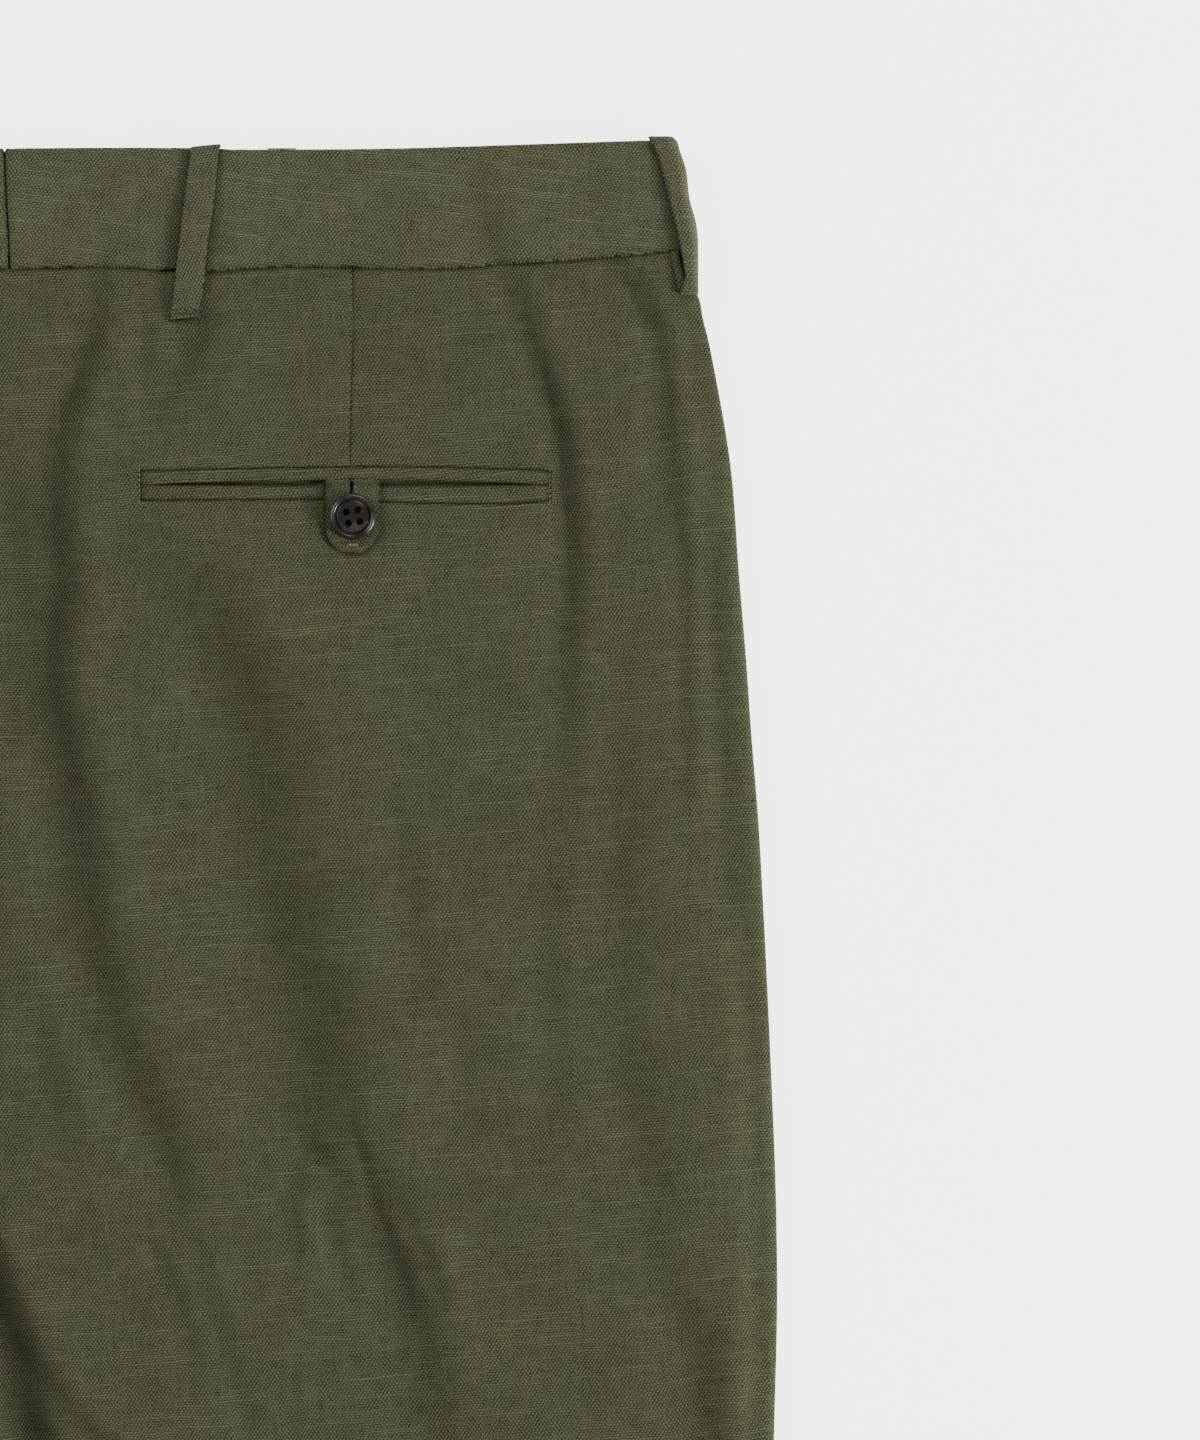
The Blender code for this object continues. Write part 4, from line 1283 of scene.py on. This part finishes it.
@dataclass
class SideLoop(BeltLoop):
    """The loop that leans over the side's folded edge, with its turned-under end beside it."""

    length: float = 48.6
    inner_line: Line = Line(((-3.6, 214.8), (-0.5, 216.3), (6, 218.6), (17, 221.4), (27, 223.9), (38, 226.2),
                             (45, 226.6), (47, 225.6), (48.6, 225.2)))
    outer_line: Line = Line(((-3.6, 223.0), (-2.4, 224.2), (0, 224.9), (7.3, 227.3), (11, 227.7), (18, 228.6),
                             (23.3, 230.2), (28, 231.0), (34, 231.2), (48.6, 231.2)))

    def rise(self, down: np.ndarray) -> np.ndarray:
        """Height of the strip's middle over the band and, below it, over the back cloth.

        Args:
            down: Distances below the waistband's top edge.

        Returns:
            The heights.
        """
        on_band = BAND_BACK_MID + BAND_PLY / 2 + 0.35 + self.ply / 2
        bulge = 0.9 * ease(down, 2, 20) * (1 - ease(down, 36, 46))
        return on_band + bulge - 0.35 * ease(down, 38, 46) - 1.9 * (1 - ease(down, -3.6, -1.6))

    def build(self) -> Object:
        """Make the loop.

        Returns:
            The loop.
        """
        down = np.concatenate([[-3.6, -3.3, -2.8, -2.0, -1.0], np.linspace(0.6, 46.0, 18),
                               [47.2, 48.1, self.length]])[:, None]
        inner, outer, top = self.inner_line(down), self.outer_line(down) - self.ply / 2, self.rise(down)
        turn = np.minimum(3.6, 0.55 * (outer - inner))
        drop = (top - 3.4) * (1.0 - 0.55 * ease(down, 44, 48.6))
        angles = np.linspace(math.pi / 2, 0.0, 9)
        across = np.concatenate([np.linspace(inner, outer - turn, 6, axis=1)[:, :-1, 0],
                                 outer - turn + turn * np.cos(angles)], axis=1)
        height = np.concatenate([top + np.array([-0.18, 0.0, 0.0, 0.0, 0.0]),
                                 top - drop * (1 - np.sin(angles))], axis=1)
        made = self.strip("loop_side_cloth", self.side.points(across, down, height),
                          (self.side.sign * 0.7, 0.0, 0.7), [f"loop_side_{self.side.value}"])
        self.turned_end()
        return made

    def turned_end(self) -> None:
        """The narrow strip of the loop's turned-under end, beside its lower half."""
        down = np.linspace(34.6, 47.6, 8)[:, None]
        across = 221.8 + 2.4 * ease(down, 33, 47) + np.linspace(0.0, 2.9, 5)
        height = BAND_BACK_MID - 0.1 + 0.45 * ease(down, 37, 41) - 0.12 * np.array([2, 0, 0, 1, 5])
        self.strip("loop_side_end", self.side.points(across, down, height), (0.0, 0.0, 1.0))


# --------------------------------------------------------------------------- stitching


@dataclass
class StitchRow:
    """Stitches spaced along a path by a node tree, made plain mesh. Sizes are in millimetres."""

    name: str
    thread: Material
    length: float = 2.1
    gap: float = 0.5
    thickness: float = 0.42

    def tree(self) -> bpy.types.NodeTree:
        """The node tree: spaced points, a rounded stitch on each, turned along the path.

        Returns:
            The tree.
        """
        tree = bpy.data.node_groups.new(f"{self.name}_tree", "GeometryNodeTree")
        for label, way, kind in (("Geometry", "INPUT", "Geometry"), ("Pitch", "INPUT", "Float"),
                                 ("Stitch Length", "INPUT", "Float"), ("Thickness", "INPUT", "Float"),
                                 ("Thread", "INPUT", "Material"), ("Geometry", "OUTPUT", "Geometry")):
            tree.interface.new_socket(label, in_out=way, socket_type=f"NodeSocket{kind}")
        nodes = {name: tree.nodes.new(kind) for name, kind in (
            ("given", "NodeGroupInput"), ("result", "NodeGroupOutput"),
            ("curve", "GeometryNodeMeshToCurve"), ("points", "GeometryNodeCurveToPoints"),
            ("ball", "GeometryNodeMeshUVSphere"), ("flat", "ShaderNodeMath"),
            ("size", "ShaderNodeCombineXYZ"), ("scaled", "GeometryNodeTransform"),
            ("placed", "GeometryNodeInstanceOnPoints"), ("real", "GeometryNodeRealizeInstances"),
            ("smooth", "GeometryNodeSetShadeSmooth"), ("dressed", "GeometryNodeSetMaterial"))}
        nodes["points"].mode = "LENGTH"
        nodes["flat"].operation = "MULTIPLY"
        for name, socket, value in (("ball", "Segments", 8), ("ball", "Rings", 6), ("ball", "Radius", 0.5),
                                    ("flat", 1, 0.7)):
            nodes[name].inputs[socket].default_value = value
        for start, output, end, entry in (
                ("given", "Geometry", "curve", "Mesh"), ("curve", "Curve", "points", "Curve"),
                ("given", "Pitch", "points", "Length"), ("given", "Thickness", "size", 0),
                ("given", "Thickness", "flat", 0), ("flat", 0, "size", 1),
                ("given", "Stitch Length", "size", 2), ("ball", "Mesh", "scaled", "Geometry"),
                ("size", 0, "scaled", "Scale"), ("points", "Points", "placed", "Points"),
                ("scaled", "Geometry", "placed", "Instance"), ("points", "Rotation", "placed", "Rotation"),
                ("placed", "Instances", "real", "Geometry"), ("real", "Geometry", "smooth", "Geometry"),
                ("smooth", "Geometry", "dressed", "Geometry"), ("given", "Thread", "dressed", "Material"),
                ("dressed", "Geometry", "result", "Geometry")):
            tree.links.new(nodes[start].outputs[output], nodes[end].inputs[entry])
        return tree

    def build(self, *paths: Sequence[Sequence[float]]) -> Object:
        """Sew along one or more paths of (signed across, down, height) points.

        Args:
            paths: One path for each row of stitches.

        Returns:
            The stitches as one plain mesh.
        """
        points, edges = [], []
        for path in paths:
            first = len(points)
            points.extend(metres(np.array(path, float)).tolist())
            edges.extend((first + i, first + i + 1) for i in range(len(path) - 1))
        guide = bpy.data.meshes.new(f"{self.name}_guide")
        guide.from_pydata(points, edges, [])
        carrier = linked(guide.name, guide)
        modifier = carrier.modifiers.new("stitches", "NODES")
        modifier.node_group = self.tree()
        values = {"Pitch": (self.length + self.gap) * MM, "Stitch Length": self.length * MM,
                  "Thickness": self.thickness * MM, "Thread": self.thread}
        for item in modifier.node_group.interface.items_tree:
            if item.in_out == "INPUT" and item.name in values:
                modifier[item.identifier] = values[item.name]
        mesh = plain_mesh(carrier)
        mesh.name = self.name
        return settle(linked(self.name, mesh), "linen")


# ----------------------------------------------------------------------------- pocket


@dataclass
class Pocket:
    """A back pocket: two welts, a tab with its buttonhole, and a button."""

    side: Side
    cloth: Material
    thread: Material
    tack: Material
    resin: Material
    tab_width: float = 17.7
    tab_top: float = 111.6
    tab_bottom: float = 135.1
    tab_ply: float = 1.1
    button_across: float = 116.3
    button_down: float = 123.2

    def full_height(self, across: np.ndarray, down: np.ndarray) -> np.ndarray:
        """Top of the back cloth as if the pocket weren't there."""
        return back_height(self.side, across, down, pocket=False) + PLY / 2

    def welt(self, name: str, top_line: Line, bottom_line: Line, folded_at: float) -> Object:
        """Make one lip, sunk at its seam and rounded over at its folded edge.

        Args:
            name: The lip's name.
            top_line: Its upper edge.
            bottom_line: Its lower edge.
            folded_at: 0 if its upper edge is the folded one, 1 if its lower edge is.

        Returns:
            The lip.
        """
        across = np.sort(np.concatenate([np.linspace(POCKET_START + 0.2, POCKET_END - 0.2, 90),
                                         TAB_CENTRE + np.array([-0.9, -0.4, 0.1, 0.6, 1.1])]))
        share = np.array([0.0, 0.06, 0.14, 0.26, 0.42, 0.58, 0.74, 0.86, 0.94, 1.0])[:, None]
        top, bottom = top_line(across), bottom_line(across)
        down = top + share * (bottom - top)
        from_fold = np.abs(share - folded_at)
        ends = np.minimum(across - POCKET_START, POCKET_END - across)
        rounded = bell(from_fold, 0.08, 1.0)
        swell = 0.30 - 1.25 * bell(1 - from_fold, 0.11, 1.0) - 0.6 * rounded
        wobble = 0.10 * np.sin(across / 7.3 + 3 * folded_at) * np.sin(across / 19.0)
        height = self.full_height(across, down) - 0.42 + swell + wobble - 0.35 * np.exp(-ends / 1.2)
        # Painted shade along the sunk seam, over the rounded fold and at the lip's ends.
        shade = 1.5 * bell(1 - from_fold, 0.08, 1.0) + 0.8 * rounded + 1.2 * np.exp(-ends / 0.8)
        mid = self.side.points(across, down, height)
        made = cloth_solid(f"{name}_cloth_{self.side.value}", mid, PLY, self.cloth,
                           (math.radians(4.0) * self.side.sign, 19.0 + 40 * folded_at, 7.0), normals_of(mid),
                           np.minimum(shade + hole_shade(across, down), DARKEST))
        return settle(made, "linen", f"{name}_{self.side.value}")

    def slit(self, down: Number) -> np.ndarray:
        """Half the width by which the buttonhole stands open."""
        return np.maximum(0.0, 0.85 - 0.05 * (down - 111.0)) * (1 - ease(down, 118.6, 120.9))

    def tab_height(self, across: Number, down: Number) -> np.ndarray:
        """Top of the tab.

        Args:
            across: Distances from the centre back, mirrored on the left.
            down: Distances below the waistband's top edge.

        Returns:
            The heights.
        """
        over_welt = 0.35 * (1 - ease(down, 117.0, 122.0))
        out_of_mouth = -1.3 * (1 - ease(down, self.tab_top, self.tab_top + 1.8))
        return self.full_height(across, down) + 0.45 + self.tab_ply + over_welt + out_of_mouth

    def tab_half(self, down: np.ndarray) -> np.ndarray:
        """Half the tab's width, narrowing to its slightly pointed end.

        Args:
            down: Distances below the waistband's top edge.

        Returns:
            The half widths.
        """
        radius = self.tab_width / 2
        past = np.clip((down - (self.tab_bottom - radius)) / radius, 0.0, 1.0)
        return radius * np.maximum(1 - past ** 2.15, 0.0) ** 0.52

    def tab(self) -> Object:
        """Make the tab, with its buttonhole cut through.

        Returns:
            The tab.
        """
        places = np.concatenate([np.linspace(self.tab_top - 0.8, 126.0, 32),
                                 126.0 + 9.05 * np.sin(np.linspace(0, math.pi / 2, 20)[1:])])
        half_shares = np.concatenate([[0.03], np.linspace(0.07, 0.85, 9), [0.92, 0.965, 1.0]])
        shares = np.concatenate([-half_shares[::-1], half_shares])
        outward, down = np.abs(shares), places[:, None]
        offset = shares * np.maximum(self.tab_half(down), 0.35)
        offset = offset + np.sign(shares) * self.slit(down) * np.exp(-np.abs(offset) / 1.5)
        across = TAB_CENTRE + offset
        height = self.tab_height(across, down) - self.tab_ply / 2 - 0.25 * outward ** 8
        height = height + 0.12 * np.sin(down / 3.1) * outward ** 2
        cut = np.zeros((len(places) - 1, len(shares) - 1), bool)
        cut[:, len(half_shares) - 1] = (places[:-1] > 110.9) & (places[1:] < 121.0)
        # Painted shade along the tab's edges, stronger on the side away from the main light, at the
        # buttonhole's lips and at the tip.
        painted_edge_shade = np.where(shares < 0, 1.5, 1.0) * outward ** 16 + 0.6 * (outward < 0.05)
        painted_tip_shade = 1.2 * ease(down, self.tab_bottom - 0.9, self.tab_bottom - 0.1)
        mid = self.side.points(across, down, height)
        made = cloth_solid(f"tab_cloth_{self.side.value}", mid, self.tab_ply, self.cloth,
                           (math.radians(12.0) * self.side.sign, 3.0, 61.0), normals_of(mid),
                           np.maximum(painted_edge_shade, painted_tip_shade), cut)
        settle(made, "linen", f"tab_{self.side.value}")
        return made

    def buttonhole_stitches(self) -> Object:
        """Short whipped stitches along both lips of the buttonhole.

        Returns:
            The stitches.
        """
        paths = []
        for down in np.arange(111.3, 120.8, 0.42):
            for way in (-1, 1):
                across = TAB_CENTRE + way * (self.slit(down) + 0.12 + np.array([0.0, 0.75]))
                paths.append(self.side.points(across, down, self.tab_height(across, down) - 0.08))
        return StitchRow(f"buttonhole_stitches_{self.side.value}", self.thread,
                         length=0.9, gap=3.0, thickness=0.4).build(*paths)

    def bar_tack(self) -> Object:
        """The close zigzag that ends the tab's seam.

        Returns:
            The stitches.
        """
        paths = []
        for step in np.linspace(-1.6, 1.6, 8):
            across = TAB_CENTRE + 0.3 + step
            height = self.tab_height(across, 133.6) + 0.32
            paths.append(self.side.points(across, np.array([132.4, 134.2]), height))
        return StitchRow(f"tab_tack_{self.side.value}", self.tack,
                         length=1.3, gap=3.0, thickness=0.4).build(*paths)

    def end_tacks(self) -> Object:
        """The upright lines of stitches that close the pocket's two ends.

        Returns:
            The stitches.
        """
        down = np.linspace(107.4, 117.8, 6)
        paths = [self.side.points(across, down, self.full_height(across, down) - 0.08)
                 for across in (POCKET_START - 0.2, POCKET_END + 0.3)]
        return StitchRow(f"pocket_tacks_{self.side.value}", self.tack, length=1.5, gap=0.1).build(*paths)

    def build(self) -> list[Object]:
        """Make the whole pocket and return the trims sewn to the back cloth.

        Returns:
            The trims sewn to the back cloth.
        """
        welts = [self.welt("welt_upper", WELT_TOP_LINE, MOUTH_TOP_LINE, 1.0),
                 self.welt("welt_lower", MOUTH_BOTTOM_LINE, WELT_BOTTOM_LINE, 0.0)]
        self.tab()
        trims = [*welts, self.buttonhole_stitches(), self.bar_tack(), self.end_tacks()]
        base = float(self.tab_height(self.button_across, self.button_down)) + 0.15
        Button(self.side, self.resin, self.thread).build((self.side.sign * self.button_across,
                                                          self.button_down, base))
        return trims


@dataclass
class Button:
    """A dished four-hole button with a raised rim."""

    side: Side
    resin: Material
    thread: Material
    radius: float = 7.7
    hole_radius: float = 1.05
    hole_ring: float = 2.7
    hole_turn: float = math.radians(-55)

    def profile(self) -> tuple:
        """The turned section as (radius, height), from the underside round to the dish.

        Returns:
            The section's points.
        """
        return ((0.0, 0.0), (6.2, 0.0), (6.9, 0.25), (7.4, 0.75), (7.64, 1.25), (self.radius, 1.6),
                (7.62, 2.0), (7.4, 2.32), (7.12, 2.56), (6.8, 2.68), (6.5, 2.66), (6.22, 2.5),
                (6.05, 2.26), (5.95, 2.0), (5.85, 1.72), (5.7, 1.6), (5.52, 1.62), (5.38, 1.78),
                (5.25, 1.9), (5.05, 1.95), (4.6, 1.9), (3.6, 1.78), (2.4, 1.70), (1.2, 1.68), (0.0, 1.68))

    def holes(self, centre: Sequence[float]) -> list[tuple[float, float]]:
        """Places of the four holes.

        Args:
            centre: Where the button lies.

        Returns:
            The signed distance across and the distance down of each.
        """
        angles = [self.hole_turn + hole * math.pi / 2 for hole in range(4)]
        return [(centre[0] + self.hole_ring * math.cos(a), centre[1] + self.hole_ring * math.sin(a))
                for a in angles]

    def build(self, centre: Sequence[float]) -> Object:
        """Make the button with its holes cut through and its thread.

        Args:
            centre: Signed distance across, distance down and height of its middle.

        Returns:
            The button.
        """
        body = turned(f"button_{self.side.value}_turned", self.profile(), centre, 72, self.resin)
        wide = self.hole_radius
        hole_profile = ((0.0, -2.0), (wide, -2.0), (wide, 1.35), (wide + 0.2, 1.68), (wide + 0.75, 2.3),
                        (0.0, 2.3))
        cutters = [turned(f"button_{self.side.value}_hole_{i}", hole_profile, (*hole, centre[2]), 20,
                          self.resin) for i, hole in enumerate(self.holes(centre))]
        for cutter in cutters:
            cut = body.modifiers.new("hole", "BOOLEAN")
            cut.operation, cut.solver, cut.object = "DIFFERENCE", "EXACT", cutter
        mesh = plain_mesh(body)
        for cutter in cutters:
            bpy.data.objects.remove(cutter, do_unlink=True)
        made = linked(f"button_face_{self.side.value}", mesh)
        mesh.shade_smooth()
        mesh.set_sharp_from_angle(angle=math.radians(32))
        settle(made, "button_resin", f"button_{self.side.value}")
        self.sew(centre)
        return made

    def sew(self, centre: Sequence[float]) -> Object:
        """Dark thread standing in the holes."""
        paths = [[(*hole, centre[2] - 0.1), (*hole, centre[2] + 0.9)] for hole in self.holes(centre)]
        return StitchRow(f"button_thread_{self.side.value}", self.thread,
                         length=1.2, gap=3.0, thickness=1.5).build(*paths)


# ----------------------------------------------------------------------------- studio


@dataclass(frozen=True)
class Softbox:
    """A square soft light that looks at the middle of what the camera sees."""

    name: str
    place: tuple
    size: float
    power: float

    def build(self, target: Vector) -> None:
        """Add the light.

        Args:
            target: The point that it looks at, in metres.
        """
        data = bpy.data.lights.new(self.name, "AREA")
        data.energy, data.size = self.power, self.size
        light = linked(self.name, data)
        light.location = target + Vector(self.place)
        light.rotation_mode = "QUATERNION"
        light.rotation_quaternion = (target - light.location).to_track_quat("-Z", "Y")


@dataclass
class Studio:
    """The floor, the lights and the camera over the upper right of the back."""

    frame_height: float = 480.0
    frame_middle: tuple = (198.33, 190.67, 6.5)
    lens: float = 100.0
    sensor: float = 36.0
    ambient: float = 0.24
    floor_reach: float = 6.0
    floor_height: float = -0.0002
    softboxes: tuple = (Softbox("softbox_right", (2.25, -1.0, 1.20), size=1.0, power=150.0),
                        Softbox("softbox_left", (-2.3, 0.9, 1.40), size=1.8, power=80.0),
                        Softbox("softbox_top", (0.3, 2.0, 1.7), size=1.2, power=30.0))

    def build(self) -> None:
        """Make the floor, lights and camera."""
        target = Vector(metres(np.array(self.frame_middle)).tolist())
        for softbox in self.softboxes:
            softbox.build(target)
        world = bpy.data.worlds.new("soft_room")
        world.use_nodes = True
        background = world.node_tree.nodes["Background"]
        background.inputs[0].default_value = (1.0, 1.0, 1.0, 1.0)
        background.inputs[1].default_value = self.ambient
        bpy.context.scene.world = world
        data = bpy.data.cameras.new("camera")
        data.type, data.lens, data.sensor_width = "PERSP", self.lens, self.sensor
        data.clip_start, data.clip_end = 0.05, 50.0
        camera = linked("camera", data)
        camera.location = target + Vector((0.0, 0.0, self.frame_height * MM * self.lens / self.sensor))
        bpy.context.scene.camera = camera
        self.floor()

    def floor(self) -> None:
        """A plain pale floor just under the garment."""
        mesh = bpy.data.meshes.new("floor")
        corners = [(x * self.floor_reach, y * self.floor_reach, self.floor_height)
                   for x, y in ((-1, -1), (1, -1), (1, 1), (-1, 1))]
        mesh.from_pydata(corners, [], [(0, 1, 2, 3)])
        mesh.materials.append(PlainFloor().build())
        linked("floor", mesh)


# ------------------------------------------------------------------------------- main


def main() -> None:
    """Build the garment piece by piece, then the studio."""
    logging.basicConfig(level=logging.INFO, format="%(name)s %(message)s")
    linen = Linen("linen").build()
    band_linen = Linen("linen_band", dark=(0.0080, 0.0079, 0.0027), light=(0.1030, 0.1055, 0.0645)).build()
    thread = Thread("thread").build()
    tack_thread = Thread("tack_thread", colour=(0.108, 0.097, 0.053)).build()
    dark_thread = Thread("dark_thread", colour=(0.030, 0.024, 0.016)).build()
    resin = ButtonResin().build()
    for side in Side:
        front, back = Panel(side, Layer.FRONT, linen), Panel(side, Layer.BACK, linen)
        front.declare(front.build())
        band = Waistband(side, band_linen)
        cloth, belt = back.build(), band.build()
        band.declare(belt, [loop(side, band_linen, thread).build()
                            for loop in (BackLoop, SideLoop, FrontLoop)])
        back.declare(cloth, Pocket(side, linen, dark_thread, tack_thread, resin).build())
    Studio().build()


if __name__ == "__main__":
    main()
